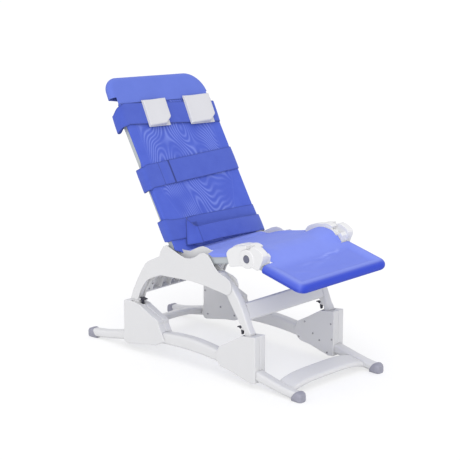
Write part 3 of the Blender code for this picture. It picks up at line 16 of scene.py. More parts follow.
import bmesh
import bpy
from mathutils import Matrix, Vector, noise
from mathutils.bvhtree import BVHTree
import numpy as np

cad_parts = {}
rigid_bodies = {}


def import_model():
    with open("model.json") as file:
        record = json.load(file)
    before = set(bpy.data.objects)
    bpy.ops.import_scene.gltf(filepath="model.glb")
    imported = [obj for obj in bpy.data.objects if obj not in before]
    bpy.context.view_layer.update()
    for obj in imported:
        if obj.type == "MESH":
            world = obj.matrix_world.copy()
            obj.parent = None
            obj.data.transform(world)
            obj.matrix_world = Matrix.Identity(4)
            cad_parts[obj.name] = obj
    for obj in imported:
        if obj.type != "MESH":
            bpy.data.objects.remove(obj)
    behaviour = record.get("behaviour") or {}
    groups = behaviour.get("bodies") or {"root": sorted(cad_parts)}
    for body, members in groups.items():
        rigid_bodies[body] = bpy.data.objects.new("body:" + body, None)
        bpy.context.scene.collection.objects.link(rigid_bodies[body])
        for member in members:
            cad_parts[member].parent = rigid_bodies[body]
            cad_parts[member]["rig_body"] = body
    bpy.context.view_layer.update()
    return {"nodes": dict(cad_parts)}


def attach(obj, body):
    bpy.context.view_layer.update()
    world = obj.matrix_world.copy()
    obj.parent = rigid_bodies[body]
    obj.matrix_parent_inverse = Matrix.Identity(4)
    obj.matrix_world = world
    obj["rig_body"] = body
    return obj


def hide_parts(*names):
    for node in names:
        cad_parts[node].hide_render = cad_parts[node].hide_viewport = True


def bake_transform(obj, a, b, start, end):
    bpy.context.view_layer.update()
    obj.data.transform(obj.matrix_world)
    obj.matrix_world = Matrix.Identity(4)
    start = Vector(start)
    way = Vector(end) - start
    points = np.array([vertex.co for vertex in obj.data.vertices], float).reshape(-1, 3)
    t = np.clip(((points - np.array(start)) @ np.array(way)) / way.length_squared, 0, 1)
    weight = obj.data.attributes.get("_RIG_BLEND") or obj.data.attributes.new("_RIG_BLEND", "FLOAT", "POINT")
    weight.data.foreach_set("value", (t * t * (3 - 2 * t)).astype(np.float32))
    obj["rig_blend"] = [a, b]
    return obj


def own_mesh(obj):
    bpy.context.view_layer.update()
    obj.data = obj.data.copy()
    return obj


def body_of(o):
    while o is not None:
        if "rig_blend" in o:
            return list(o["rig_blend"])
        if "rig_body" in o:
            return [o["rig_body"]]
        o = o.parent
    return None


LOG = logging.getLogger("bath_chair")
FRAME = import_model()

Point = tuple[float, float, float]
CLOTH_MAP = "cloth_map"
# The cloth's attribute of painted shade, with painted highlights as numbers below 0.
PAINTED_LIGHT_MAP = "darker"

# The head end's turn and the bend that a soft surface may have in a smooth face, in degrees.
HEAD_TURN = 4.5
SOFT_ANGLE = 60.0
# Places nearer than this count as the same.
NEAR = 1e-6


class Spelt(Enum):
    """A choice whose name the frame's nodes spell in small letters."""

    @property
    def word(self) -> str:
        """The name as the nodes spell it."""
        return self.name.lower()


class Side(Spelt):
    """A side of the chair, with its direction along X."""

    RIGHT = -1.0
    LEFT = 1.0


class End(Spelt):
    """An end of the stand, with the direction from its legs towards the middle."""

    FRONT = 1.0
    REAR = -1.0


class Slot(Enum):
    """The record's material slots."""

    WHITE = "white_plastic"
    TUBE = "grey_tube"
    RUBBER = "grey_rubber"
    BLACK = "black_plastic"
    BUTTON = "button_grey"
    STEEL = "dark_steel"
    FABRIC = "blue_fabric"
    NET = "blue_mesh"
    WEBBING = "blue_webbing"


# Shader helpers


class Signal:
    """A value in a node tree, on which Python's operators add Math nodes."""

    def __init__(self, book: ShaderBook, socket: bpy.types.NodeSocket) -> None:
        """Wraps an output socket.

        Args:
            book: The node tree's builder.
            socket: The output that carries the value.
        """
        self.book = book
        self.socket = socket

    def _math(self, operation: str, *values: Signal | float) -> Signal:
        """Adds one Math node on these values.

        Args:
            operation: The node's operation.
            *values: What it works on.

        Returns:
            The node's result.
        """
        settings = {"operation": operation}
        node = self.book.node("ShaderNodeMath", settings, dict(enumerate(values)))
        return Signal(self.book, node.outputs[0])

    def __add__(self, other: Signal | float) -> Signal:
        """The sum."""
        return self._math("ADD", self, other)

    def __sub__(self, other: Signal | float) -> Signal:
        """The difference."""
        return self._math("SUBTRACT", self, other)

    def __rsub__(self, other: Signal | float) -> Signal:
        """The difference from a number."""
        return self._math("SUBTRACT", other, self)

    def __mul__(self, other: Signal | float) -> Signal:
        """The product."""
        return self._math("MULTIPLY", self, other)

    def __gt__(self, other: Signal | float) -> Signal:
        """1 where this value is larger, else 0."""
        return self._math("GREATER_THAN", self, other)

    def sine(self) -> Signal:
        """The sine."""
        return self._math("SINE", self)

    def size(self) -> Signal:
        """The absolute value."""
        return self._math("ABSOLUTE", self)

    def power(self, exponent: float) -> Signal:
        """This value to a power."""
        return self._math("POWER", self, exponent)

    def step(self, low: float, high: float) -> Signal:
        """A smooth step from 0 at low to 1 at high.

        Args:
            low: Where the step starts.
            high: Where it ends.

        Returns:
            The step.
        """
        node = self.book.node(
            "ShaderNodeMapRange",
            {"interpolation_type": "SMOOTHSTEP"},
            {"Value": self, "From Min": low, "From Max": high},
        )
        return Signal(self.book, node.outputs["Result"])


class ShaderBook:
    """Builds the nodes of one material."""

    def __init__(self, name: str) -> None:
        """Starts a material with a plain Principled shader.

        Args:
            name: The material's name.
        """
        self.material = bpy.data.materials.new(name)
        self.material.use_nodes = True
        self.tree = self.material.node_tree
        self.shader = self.tree.nodes["Principled BSDF"]

    def node(
        self,
        kind: str,
        settings: dict[str, object] | None = None,
        inputs: dict[str | int, object] | None = None,
    ) -> bpy.types.Node:
        """Adds a node, sets it up, and then fills or links its inputs.

        Args:
            kind: The node's type name.
            settings: Its properties.
            inputs: Its sockets by name or number, as numbers, colours or links.

        Returns:
            The new node.
        """
        made = self.tree.nodes.new(kind)
        for key, value in (settings or {}).items():
            setattr(made, key, value)
        for key, value in (inputs or {}).items():
            self.put(made.inputs[key], value)
        return made

    def put(self, socket: bpy.types.NodeSocket, value: object) -> None:
        """Sets a socket to a number or colour, or links it.

        Args:
            socket: The input to fill.
            value: A number, a colour, an output socket or a signal.
        """
        if isinstance(value, Signal):
            self.tree.links.new(value.socket, socket)
        elif isinstance(value, bpy.types.NodeSocket):
            self.tree.links.new(value, socket)
        elif isinstance(value, tuple) and len(value) == 3 and socket.type == "RGBA":
            socket.default_value = (*value, 1.0)
        else:
            socket.default_value = value

    def place(self) -> bpy.types.NodeSocket:
        """The object's own coordinates."""
        return self.node("ShaderNodeTexCoord").outputs["Object"]

    def cloth_map(self) -> bpy.types.NodeSocket:
        """The piece's UV map, in metres along and across the cloth."""
        return self.node("ShaderNodeUVMap", {"uv_map": CLOTH_MAP}).outputs["UV"]

    def mark(self) -> Signal:
        """The piece's own map of painted shade and, below 0, of painted highlights."""
        made = self.node("ShaderNodeAttribute", {"attribute_name": PAINTED_LIGHT_MAP})
        return Signal(self, made.outputs["Fac"])

    def parts(self, vector: bpy.types.NodeSocket) -> list[Signal]:
        """The three numbers of a vector.

        Args:
            vector: The vector's socket.

        Returns:
            Its X, Y and Z as signals.
        """
        split = self.node("ShaderNodeSeparateXYZ", None, {0: vector})
        return [Signal(self, out) for out in split.outputs]

    def grain(
        self, vector: bpy.types.NodeSocket, scale: float, detail: float = 2.0, rough: float = 0.5
    ) -> Signal:
        """Noise from 0 to 1.

        Args:
            vector: Where it is read.
            scale: Cells in a metre.
            detail: Octaves.
            rough: Strength of the finer octaves.

        Returns:
            The noise.
        """
        made = self.node(
            "ShaderNodeTexNoise",
            None,
            {"Vector": vector, "Scale": scale, "Detail": detail, "Roughness": rough},
        )
        return Signal(self, made.outputs["Fac"])

    def mix(self, factor: Signal | float, a: object, b: object) -> bpy.types.NodeSocket:
        """Mixes two colours.

        Args:
            factor: 0 for the first colour, 1 for the second.
            a: The first colour.
            b: The second colour.

        Returns:
            The mixed colour.
        """
        made = self.node("ShaderNodeMix", {"data_type": "RGBA"})
        self.put(made.inputs[0], factor)
        self.put(made.inputs[6], a)
        self.put(made.inputs[7], b)
        return made.outputs[2]

    def bump(self, height: Signal, depth: float) -> None:
        """Presses a height pattern into the surface.

        Args:
            height: The pattern, from 0 to 1.
            depth: How deep 1 is, in metres.
        """
        inputs = {"Height": height, "Distance": depth, "Strength": 1.0}
        node = self.node("ShaderNodeBump", None, inputs)
        self.put(self.shader.inputs["Normal"], node.outputs["Normal"])

    def set(self, **values: object) -> None:
        """Sets inputs of the Principled shader, with _ for a space in a name."""
        for key, value in values.items():
            self.put(self.shader.inputs[key.replace("_", " ")], value)


# Finishes


def tinted(colour: Point, factor: float) -> Point:
    """A colour made lighter or darker by a factor."""
    red, green, blue = (min(1.0, c * factor) for c in colour)
    return (red, green, blue)


class Finish:
    """What the finishes share: a slot of the record and a way to make a material."""

    slot: Slot

    def make(self, name: str) -> bpy.types.Material:
        """Builds the material.

        Args:
            name: The material's name.

        Returns:
            The material.
        """
        book = ShaderBook(name)
        self.paint(book)
        return book.material

    def paint(self, book: ShaderBook) -> None:
        """Sets up the material's shader, each finish in its own way."""
        raise NotImplementedError


@dataclass(frozen=True)
class Sheen:
    """The soft sheen of a cloth."""

    weight: float
    tint: Point
    roughness: float = 0.5
    specular: float = 0.2

    def apply(self, book: ShaderBook) -> None:
        """Sets the inputs of a cloth's shader that make its sheen."""
        book.set(Sheen_Weight=self.weight, Sheen_Roughness=self.roughness)
        book.set(Sheen_Tint=self.tint, Specular_IOR_Level=self.specular)


@dataclass(frozen=True)
class MouldedPlastic(Finish):
    """Moulded plastic with a fine grain and slightly uneven gloss."""

    colour: Point
    roughness: float
    slot: Slot
    shade: float = 0.03
    cloud_scale: float = 9.0
    gloss_scale: float = 70.0
    gloss_change: float = 0.10
    index: float = 1.48
    grain_scale: float = 2600.0
    grain_depth: float = 0.000012

    def paint(self, book: ShaderBook) -> None:
        """Sets up the material's shader.

        Args:
            book: Its builder.
        """
        place = book.place()
        darker = tinted(self.colour, 1.0 - self.shade)
        gloss = book.grain(place, self.gloss_scale, 3.0) * self.gloss_change
        book.set(
            Base_Color=book.mix(book.grain(place, self.cloud_scale, 3.0), darker, self.colour),
            Roughness=gloss + (self.roughness - self.gloss_change / 2),
            IOR=self.index,
        )
        book.bump(book.grain(place, self.grain_scale), self.grain_depth)


@dataclass(frozen=True)
class CoatedTube(Finish):
    """Metal tube under a smooth satin coating, a little scuffed."""

    colour: Point
    roughness: float = 0.36
    slot: Slot = Slot.TUBE
    metal: float = 0.15
    scuff_scale: float = 160.0
    scuff_tint: float = 1.12
    scuff_share: float = 0.5
    gloss_scale: float = 55.0
    gloss_change: float = 0.14
    grain_scale: float = 1800.0
    grain_depth: float = 0.000010

    def paint(self, book: ShaderBook) -> None:
        """Sets up the material's shader.

        Args:
            book: Its builder.
        """
        place = book.place()
        scuff = book.grain(place, self.scuff_scale, 4.0, 0.7).step(0.58, 0.80)
        gloss = book.grain(place, self.gloss_scale, 3.0) * self.gloss_change
        book.set(
            Base_Color=book.mix(scuff * self.scuff_share, self.colour, tinted(self.colour, self.scuff_tint)),
            Roughness=gloss + (self.roughness - self.gloss_change / 2),
            Metallic=self.metal,
        )
        book.bump(book.grain(place, self.grain_scale), self.grain_depth)


@dataclass(frozen=True)
class MattRubber(Finish):
    """Rubber with a fine matt texture."""

    colour: Point
    slot: Slot = Slot.RUBBER
    dust_tint: float = 1.25
    dust_scale: float = 90.0
    roughness: float = 0.62
    gloss_scale: float = 300.0
    gloss_change: float = 0.12
    grain_scale: float = 1500.0
    grain_depth: float = 0.00004

    def paint(self, book: ShaderBook) -> None:
        """Sets up the material's shader.

        Args:
            book: Its builder.
        """
        place = book.place()
        dust = book.grain(place, self.dust_scale, 4.0)
        book.set(
            Base_Color=book.mix(dust, self.colour, tinted(self.colour, self.dust_tint)),
            Roughness=book.grain(place, self.gloss_scale) * self.gloss_change + self.roughness,
        )
        book.bump(book.grain(place, self.grain_scale), self.grain_depth)


@dataclass(frozen=True)
class DarkSteel(Finish):
    """Dark plated steel of pins and screws."""

    colour: Point = (0.16, 0.16, 0.18)
    slot: Slot = Slot.STEEL
    metal: float = 0.85
    roughness: float = 0.28
    gloss_scale: float = 500.0
    gloss_change: float = 0.15
    grain_scale: float = 2500.0
    grain_depth: float = 0.00001

    def paint(self, book: ShaderBook) -> None:
        """Sets up the material's shader.

        Args:
            book: Its builder.
        """
        place = book.place()
        book.set(
            Base_Color=self.colour,
            Metallic=self.metal,
            Roughness=book.grain(place, self.gloss_scale) * self.gloss_change + self.roughness,
        )
        book.bump(book.grain(place, self.grain_scale, 1.0), self.grain_depth)


@dataclass(frozen=True)
class StretchCloth(Finish):
    """Smooth stretch cloth with a fine knit, a soft sheen, and painted shade and painted highlights from its
    map.
    """

    colour: Point
    deep: Point
    # The colours of the painted shade and of the painted highlight.
    dark: Point = (0.018, 0.046, 0.47)
    pale: Point = (0.34, 0.40, 0.84)
    pitch: float = 0.0011
    knit_depth: float = 0.00007
    cloud_scale: float = 14.0
    knit_shade: float = 0.25
    knit_gloss: float = 0.10
    roughness: float = 0.68
    wrinkle_scale: float = 420.0
    wrinkle_share: float = 0.4
    sheen: Sheen = Sheen(0.14, (0.62, 0.70, 1.0), specular=0.25)
    slot: Slot = Slot.FABRIC

    def paint(self, book: ShaderBook) -> None:
        """Sets up the material's shader.

        Args:
            book: Its builder.
        """
        cloth = book.cloth_map()
        along, across, _ = book.parts(cloth)
        turn = 2 * math.pi / self.pitch
        knit = (along * turn).sine() * (across * turn * 0.5).sine()
        knit = knit * 0.5 + 0.5
        cloud = book.grain(cloth, self.cloud_scale, 3.0, 0.6)
        tone = book.mix(cloud, self.deep, self.colour)
        tone = book.mix(knit * self.knit_shade, tone, self.deep)
        # Painted shade, then painted highlights, from the piece's map.
        tone = book.mix(book.mark(), tone, self.dark)
        tone = book.mix(book.mark() * -1.0, tone, self.pale)
        book.set(Base_Color=tone, Roughness=knit * self.knit_gloss + self.roughness)
        self.sheen.apply(book)
        wrinkles = book.grain(cloth, self.wrinkle_scale, 3.0) * self.wrinkle_share
        book.bump(knit + wrinkles, self.knit_depth)


@dataclass(frozen=True)
class NetCloth(Finish):
    """Two layers of fine net, whose threads make pale contour bands between its side sleeves."""

    colour: Point
    deep: Point
    band: Point
    foot_half: float = 0.128
    net_half: float = 0.170
    foot_end: float = 0.09
    full_from: float = 0.24
    pitch: float = 0.0024
    hill_scale: float = 5.6
    hill_stretch: float = 0.62
    bands: float = 250.0
    band_power: float = 1.7
    band_share: float = 0.50
    hole_share: float = 0.45
    stitch_pitch: float = 0.0042
    stitch_share: float = 0.16
    roughness: float = 0.82
    depth: float = 0.00035
    sheen: Sheen = Sheen(0.15, (0.55, 0.62, 1.0))
    slot: Slot = Slot.NET

    def paint(self, book: ShaderBook) -> None:
        """Sets up the material's shader.

        Args:
            book: Its builder.
        """
        cloth = book.cloth_map()
        across, up, _ = book.parts(cloth)
        turn = 2 * math.pi / self.pitch
        holes = (across * turn).sine() * (up * turn).sine()
        holes = holes * 0.5 + 0.5
        scale = {0: cloth, "Scale": (1.0, self.hill_stretch, 1.0)}
        stretched = book.node("ShaderNodeMapping", None, scale)
        hills = book.grain(stretched.outputs[0], self.hill_scale, 1.0, 0.30)
        bands = ((hills * self.bands).sine() * 0.5 + 0.5).power(self.band_power)
        wider = up.step(self.foot_end, self.full_from) * (self.net_half - self.foot_half)
        far = across.size() - (wider + self.foot_half)
        inside = 1.0 - far.step(-0.022, 0.002)
        fade = book.grain(cloth, 9.0, 1.0).step(0.30, 0.58)
        stitch = (up * (2 * math.pi / self.stitch_pitch)).sine() > -0.2
        line = (1.0 - far.size().step(0.0006, 0.0018)) * stitch
        tone = book.mix(book.grain(cloth, 16.0, 3.0), self.deep, self.colour)
        tone = book.mix(holes * inside * self.hole_share, tone, self.deep)
        tone = book.mix(bands * inside * fade * self.band_share, tone, self.band)
        tone = book.mix(line * self.stitch_share, tone, self.band)
        book.set(Base_Color=tone, Roughness=self.roughness)
        self.sheen.apply(book)
        book.bump(holes * inside * 0.8 + (1.0 - line) * 0.6, self.depth)


@dataclass(frozen=True)
class BrushedWebbing(Finish):
    """Soft brushed strap cloth with a stitched hem along both edges, which are darker partly by the hem's
    own tone and partly by painted shade.
    """

    colour: Point
    deep: Point
    half: float
    # Dark lines across the strap, as place, width and strength: stitch lines and painted shade.
    seams: tuple[tuple[float, float, float], ...] = ()
    rib_pitch: float = 0.0016
    stitch_pitch: float = 0.0038
    stitch_inset: float = 0.0045
    rim_width: float = 0.0032
    rim_share: float = 0.60
    rim_tint: float = 0.42
    roughness: float = 0.78
    depth: float = 0.00022
    sheen: Sheen = Sheen(0.35, (0.50, 0.58, 1.0), 0.55)
    slot: Slot = Slot.WEBBING

    def paint(self, book: ShaderBook) -> None:
        """Sets up the material's shader.

        Args:
            book: Its builder.
        """
        cloth = book.cloth_map()
        along, across, _ = book.parts(cloth)
        pile = book.grain(cloth, 1300.0, 3.0, 0.7)
        rib = (across * (2 * math.pi / self.rib_pitch)).sine() * 0.5 + 0.5
        inset = self.half - across.size() - self.stitch_inset
        dash = (along * (2 * math.pi / self.stitch_pitch)).sine() > -0.3
        row = (1.0 - inset.size().step(0.0004, 0.0013)) * dash
        tone = book.mix(book.grain(cloth, 22.0, 3.0, 0.6), self.deep, self.colour)
        tone = book.mix(pile * 0.3, tone, self.deep)
        tone = book.mix(row * 0.6, tone, self.deep)
        # The darkest tone, for stitch lines and for the painted shade at the edges and across the strap.
        darkest = tinted(self.deep, self.rim_tint)
        # The edges grow darker, partly as the hem's own tone and partly as painted shade where the strap
        # meets the back.
        rim = across.size().step(self.half - self.rim_width, self.half - 0.0006)
        tone = book.mix(rim * self.rim_share, tone, darkest)
        # Stitch lines, and painted shade where the strap laps, folds or meets the belt's root.
        for place, width, strength in self.seams:
            dark_line = 1.0 - (along - place).size().step(width * 0.4, width)
            tone = book.mix(dark_line * strength, tone, darkest)
        book.set(Base_Color=tone, Roughness=pile * 0.1 + self.roughness)
        self.sheen.apply(book)
        book.bump(pile * 0.5 + rib * 0.25 + (1.0 - row) * 0.8, self.depth)


WHITE = MouldedPlastic((0.630, 0.630, 0.638), 0.34, Slot.WHITE)
# A lighter copy of the white plastic for the knee hubs: painted light, so that they look more brightly lit.
HUB_WHITE_PAINTED_LIGHTER = MouldedPlastic((0.690, 0.690, 0.698), 0.34, Slot.WHITE)
# A darker, bluer copy of the white plastic for the head blocks: painted shade.
BLOCK_WHITE_PAINTED_SHADE = MouldedPlastic((0.560, 0.560, 0.585), 0.36, Slot.WHITE)
BLACK = MouldedPlastic((0.035, 0.035, 0.05), 0.45, Slot.BLACK, 0.15)
BUTTON = MouldedPlastic((0.13, 0.135, 0.19), 0.42, Slot.BUTTON, 0.10)
TUBE = CoatedTube((0.42, 0.45, 0.47))
RUBBER = MattRubber((0.25, 0.25, 0.30))
GASKET = MattRubber((0.06, 0.06, 0.08))
STEEL = DarkSteel()
SEAT_CLOTH = StretchCloth((0.196, 0.255, 0.73), (0.165, 0.220, 0.68))
POCKET_CLOTH = StretchCloth((0.118, 0.172, 0.585), (0.098, 0.148, 0.53))
NET_CLOTH = NetCloth((0.083, 0.132, 0.55), (0.055, 0.090, 0.46), (0.24, 0.31, 0.74))
WEBBING = ((0.074, 0.118, 0.490), (0.048, 0.080, 0.410))

# Shapes


def link(name: str, bm: bmesh.types.BMesh, smooth: float = 40.0) -> bpy.types.Object:
    """Turns a bmesh into a smooth-shaded object at the origin.

    Args:
        name: The piece's name.
        bm: The shape, which is freed.
        smooth: Edges sharper than this many degrees stay sharp.

    Returns:
        The new object.
    """
    mesh = bpy.data.meshes.new(name)
    bm.to_mesh(mesh)
    bm.free()
    mesh.shade_smooth()
    mesh.set_sharp_from_angle(angle=math.radians(smooth))
    made = bpy.data.objects.new(name, mesh)
    bpy.context.scene.collection.objects.link(made)
    return made


def settle(piece: bpy.types.Object) -> bpy.types.Object:
    """Applies a piece's modifiers to its mesh.

    Args:
        piece: The piece with live modifiers.

    Returns:
        The same piece.
    """
    bpy.context.view_layer.update()
    graph = bpy.context.evaluated_depsgraph_get()
    mesh = bpy.data.meshes.new_from_object(piece.evaluated_get(graph))
    mesh.name = piece.name
    piece.modifiers.clear()
    piece.data = mesh
    mesh.shade_smooth()
    mesh.set_sharp_from_angle(angle=math.radians(SOFT_ANGLE))
    return piece


def wear(piece: bpy.types.Object, finish: Finish, body: str, *nodes: str) -> bpy.types.Object:
    """Gives a piece its finish and body, and hides the nodes that it stands in for.

    Args:
        piece: The new piece.
        finish: Its finish.
        body: The body that it rides on, or nothing for a piece that is blended.
        *nodes: The nodes that it replaces.

    Returns:
        The same piece.
    """
    piece.data.materials.clear()
    piece.data.materials.append(finish.make(f"{piece.name}_finish"))
    if nodes:
        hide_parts(*nodes)
    if body:
        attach(piece, body)
    LOG.info("%s is made", piece.name)
    return piece


def dress(node: str, finish: Finish) -> None:
    """Gives a node of the frame its finish, with its shape as it is.

    Args:
        node: The node's name.
        finish: Its finish.
    """
    piece = FRAME["nodes"][node]
    piece.data.materials.clear()
    piece.data.materials.append(finish.make(f"{node}_finish"))
    LOG.info("%s keeps its own shape", node)


def merged_copy(node: str) -> bmesh.types.BMesh:
    """Copies a node of the frame with its doubles merged and its flat faces whole.

    Args:
        node: The node's name.

    Returns:
        The copied shape.
    """
    bm = bmesh.new()
    bm.from_mesh(FRAME["nodes"][node].data)
    bmesh.ops.remove_doubles(bm, verts=bm.verts, dist=0.00001)
    bmesh.ops.dissolve_limit(
        bm, angle_limit=math.radians(0.4), verts=bm.verts, edges=bm.edges, delimit=set()
    )
    return bm


@dataclass(frozen=True)
class Softening:
    """How the edges of a moulded or cut part are rounded.

    With a melt, all edges are rounded together on a mesh of that cell size. The last three say how
    far a rounding may stray, which faces are too small to judge and when a face is inside out.
    """

    width: float
    segments: int = 2
    sharp: float = 28.0
    shortest: float = 0.0026
    tries: int = 7
    melt: float = 0.0
    melt_steps: int = 7
    melt_share: float = 0.4
    strays: float = 0.8
    sliver: float = 0.02
    flipped: float = -0.1

    def apply(self, node: str, finish: Finish) -> bpy.types.Object:
        """Replaces a node with a copy whose outer edges are rounded.

        Args:
            node: The node's name.
            finish: The copy's finish.

        Returns:
            The new piece.
        """
        if self.melt:
            piece = self.melted(node)
        else:
            piece = link(f"{node}_skin", self.rounded(node), 33.0)
            normals = piece.modifiers.new("even_shading", "WEIGHTED_NORMAL")
            normals.keep_sharp = True
            normals.weight = 80
        return wear(piece, finish, body_of(FRAME["nodes"][node])[0], node)

    def melted(self, node: str) -> bpy.types.Object:
        """Rounds every edge of a copy of a node, as on a thick moulding.

        Args:
            node: The node's name.

        Returns:
            The rounded piece.
        """
        piece = link(f"{node}_skin", merged_copy(node))
        even = piece.modifiers.new("even_mesh", "REMESH")
        even.mode = "VOXEL"
        even.voxel_size = self.melt
        soft = piece.modifiers.new("soft_edges", "SMOOTH")
        soft.factor = 0.5
        soft.iterations = self.melt_steps
        fewer = piece.modifiers.new("fewer_faces", "DECIMATE")
        fewer.ratio = self.melt_share
        return settle(piece)

    def rounded(self, node: str) -> bmesh.types.BMesh:
        """Rounds a copy of a node, and leaves out the corners where a rounding would cross itself.

        Args:
            node: The node's name.

        Returns:
            The rounded shape.
        """
        left_out: set[int] = set()
        for attempt in range(self.tries):
            bm = merged_copy(node)
            source = bm.verts.layers.int.new("source")
            for vert in bm.verts:
                vert[source] = vert.index + 1
            tree = BVHTree.FromBMesh(bm)
            self.bevel(bm, left_out)
            crossed = self.crossed(bm, tree)
            if not crossed:
                break
            left_out |= crossed
            if attempt < self.tries - 1:
                bm.free()
        LOG.info("%s: %d corners left out, %d still crossed", node, len(left_out), len(crossed))
        return bm

    def bevel(self, bm: bmesh.types.BMesh, left_out: set[int]) -> None:
        """Rounds the outer edges of a shape.

        Args:
            bm: The shape.
            left_out: The numbers of the corners whose edges stay as they are.
        """
        source = bm.verts.layers.int["source"]
        chosen = []
        for edge in bm.edges:
            if len(edge.link_faces) != 2 or not edge.is_convex:
                continue
            blunt = edge.calc_face_angle(0.0) < math.radians(self.sharp)
            if blunt or edge.calc_length() < self.shortest:
                continue
            if not any(vert[source] in left_out for vert in edge.verts):
                chosen.append(edge)
        bmesh.ops.bevel(
            bm,
            geom=chosen,
            offset=self.width,
            offset_type="OFFSET",
            segments=self.segments,
            profile=0.5,
            affect="EDGES",
            clamp_overlap=False,
            material=-1,
        )

    def crossed(self, bm: bmesh.types.BMesh, tree: BVHTree) -> set[int]:
        """Finds the corners whose rounding left the old surface or turned inside out.

        Args:
            bm: The rounded shape.
            tree: The shape before it was rounded.

        Returns:
            The numbers of those corners.
        """
        source = bm.verts.layers.int["source"]
        bm.normal_update()
        found: set[int] = set()
        for vert in bm.verts:
            _, _, _, gap = tree.find_nearest(vert.co)
            if gap > self.width * self.strays:
                found.add(vert[source])
        for face in bm.faces:
            if face.calc_area() < self.width**2 * self.sliver:
                continue
            _, normal, _, _ = tree.find_nearest(face.calc_center_median())
            if face.normal.dot(normal) < self.flipped:
                found |= {vert[source] for vert in face.verts}
        return found


@dataclass(frozen=True)
class Screws:
    """Round screw heads with a small recess."""

    radius: float = 0.0031
    height: float = 0.0019
    taper: float = 0.86
    recess_rim: float = 0.42
    recess_depth: float = 0.55
    segments: int = 18

    def make(self, name: str, feet: Sequence[tuple[Vector, Vector]], body: str) -> None:
        """Makes the heads as one piece and dresses it.

        Args:
            name: The piece's name.
            feet: Where each head stands and which way it points.
            body: The body that they ride on.
        """
        bm = bmesh.new()
        for foot, out in feet:
            turn = out.to_track_quat("Z", "Y").to_matrix().to_4x4()
            made = bmesh.ops.create_cone(
                bm,
                cap_ends=True,
                segments=self.segments,
                radius1=self.radius,
                radius2=self.radius * self.taper,
                depth=self.height,
                matrix=Matrix.Translation(foot + out * (self.height / 2)) @ turn,
            )
            faces = {face for vert in made["verts"] for face in vert.link_faces}
            top = max(faces, key=lambda face: face.calc_center_median().dot(out))
            bmesh.ops.inset_region(bm, faces=[top], thickness=self.radius * self.recess_rim, depth=0.0)
            bmesh.ops.translate(bm, verts=top.verts, vec=out * (-self.height * self.recess_depth))
        wear(link(name, bm, 30.0), STEEL, body)


def smooth_step(t: float) -> float:
    """An S curve from 0 to 1."""
    t = max(0.0, min(1.0, t))
    return t * t * (3.0 - 2.0 * t)


def mix(a: float, b: float, t: float) -> float:
    """The number a share of the way from one to the other."""
    return a + (b - a) * t


def arc(radius: float, away: float) -> float:
    """The height of a circle at a distance from its centre."""
    return math.sqrt(max(0.0, radius**2 - away**2))


def bell(away: float, width: float) -> float:
    """A bell curve that is 1 in its middle."""
    return math.exp(-((away / width) ** 2))


def steps(a: float, b: float, count: int) -> list[float]:
    """Even steps after a number, up to another."""
    return [a + (b - a) * (i + 1) / count for i in range(count)]


@dataclass(frozen=True)
class Ramp:
    """An S curve from 0 at a start to 1 a stretch on from it, which may run backwards."""

    start: float
    stretch: float

    def at(self, value: float) -> float:
        """The curve's height at a value."""
        return smooth_step((value - self.start) / self.stretch)


@dataclass(frozen=True)
class Ripple:
    """Small smooth waves over a cloth."""

    height: float
    scale: float
    seed: float

    def at(self, x: float, y: float) -> float:
        """How far the cloth is lifted at a place."""
        spot = Vector((x * self.scale + self.seed, y * self.scale - self.seed, self.seed * 0.37))
        return self.height * noise.noise(spot)


@dataclass(frozen=True)
class Place:
    """A turned frame of a sub-assembly: across, back along it and square to it."""

    origin: Point
    turn: float

    def matrix(self) -> Matrix:
        """The frame's matrix."""
        return Matrix.Translation(self.origin) @ Matrix.Rotation(math.radians(self.turn), 4, "X")

    def at(self, x: float, y: float, z: float) -> Vector:
        """A point of the frame as a point of the whole chair."""
        return self.matrix() @ Vector((x, y, z))

    def way(self, x: float, y: float, z: float) -> Vector:
        """A direction of the frame as a direction of the whole chair."""
        return self.matrix().to_3x3() @ Vector((x, y, z))


SEAT = Place((0.0, -0.072, 0.389), -12.8)
KNEE = Place((0.0, -0.27922, 0.43608), 13.0)
BACK = Place((0.0, 0.090, 0.370), -30.3)


@dataclass(frozen=True)
class Columns:
    """The columns of a cloth: a middle part with a narrower part on each side."""

    inner: int
    outer: int

    @property
    def count(self) -> int:
        """How many there are."""
        return self.inner + 2 * self.outer

    def outside(self, i: int) -> bool:
        """True for a column of faces in a side part."""
        return i < self.outer or i >= self.count - self.outer

    def lie(self, i: int, inner_edge: float, outer_edge: float, crowded: bool = False) -> float:
        """Where a column lies across, from 0 in the middle.

        Args:
            i: The column.
            inner_edge: Half the width of the middle part.
            outer_edge: Half the width of the cloth on the column's side.
            crowded: True where the columns crowd towards the outer edge.

        Returns:
            The place across.
        """
        k = i - self.count / 2
        half = self.inner / 2
        if abs(k) <= half:
            return inner_edge * k / half
        share = (abs(k) - half) / self.outer
        if crowded:
            share = math.sin(math.radians(90.0 * share))
        return math.copysign(mix(inner_edge, outer_edge, share), k)


def numbered_grid(
    columns: int, rows: int, gone: Callable[[int, int], bool] | None = None
) -> bmesh.types.BMesh:
    """A flat grid whose vertices know their column and row.

    Args:
        columns: Faces across.
        rows: Faces along.
        gone: True for the faces that are cut away, by column and row.

    Returns:
        The grid, with integer layers "column" and "row" and an empty UV map.
    """
    bm = bmesh.new()
    bmesh.ops.create_grid(bm, x_segments=columns, y_segments=rows, size=1.0)
    column = bm.verts.layers.int.new("column")
    row = bm.verts.layers.int.new("row")
    bm.loops.layers.uv.new(CLOTH_MAP)
    for vert in bm.verts:
        vert[column] = round((vert.co.x + 1.0) / 2.0 * columns)
        vert[row] = round((vert.co.y + 1.0) / 2.0 * rows)
    if gone is not None:
        cut = [f for f in bm.faces if gone(min(v[column] for v in f.verts), min(v[row] for v in f.verts))]
        bmesh.ops.delete(bm, geom=cut, context="FACES")
    return bm


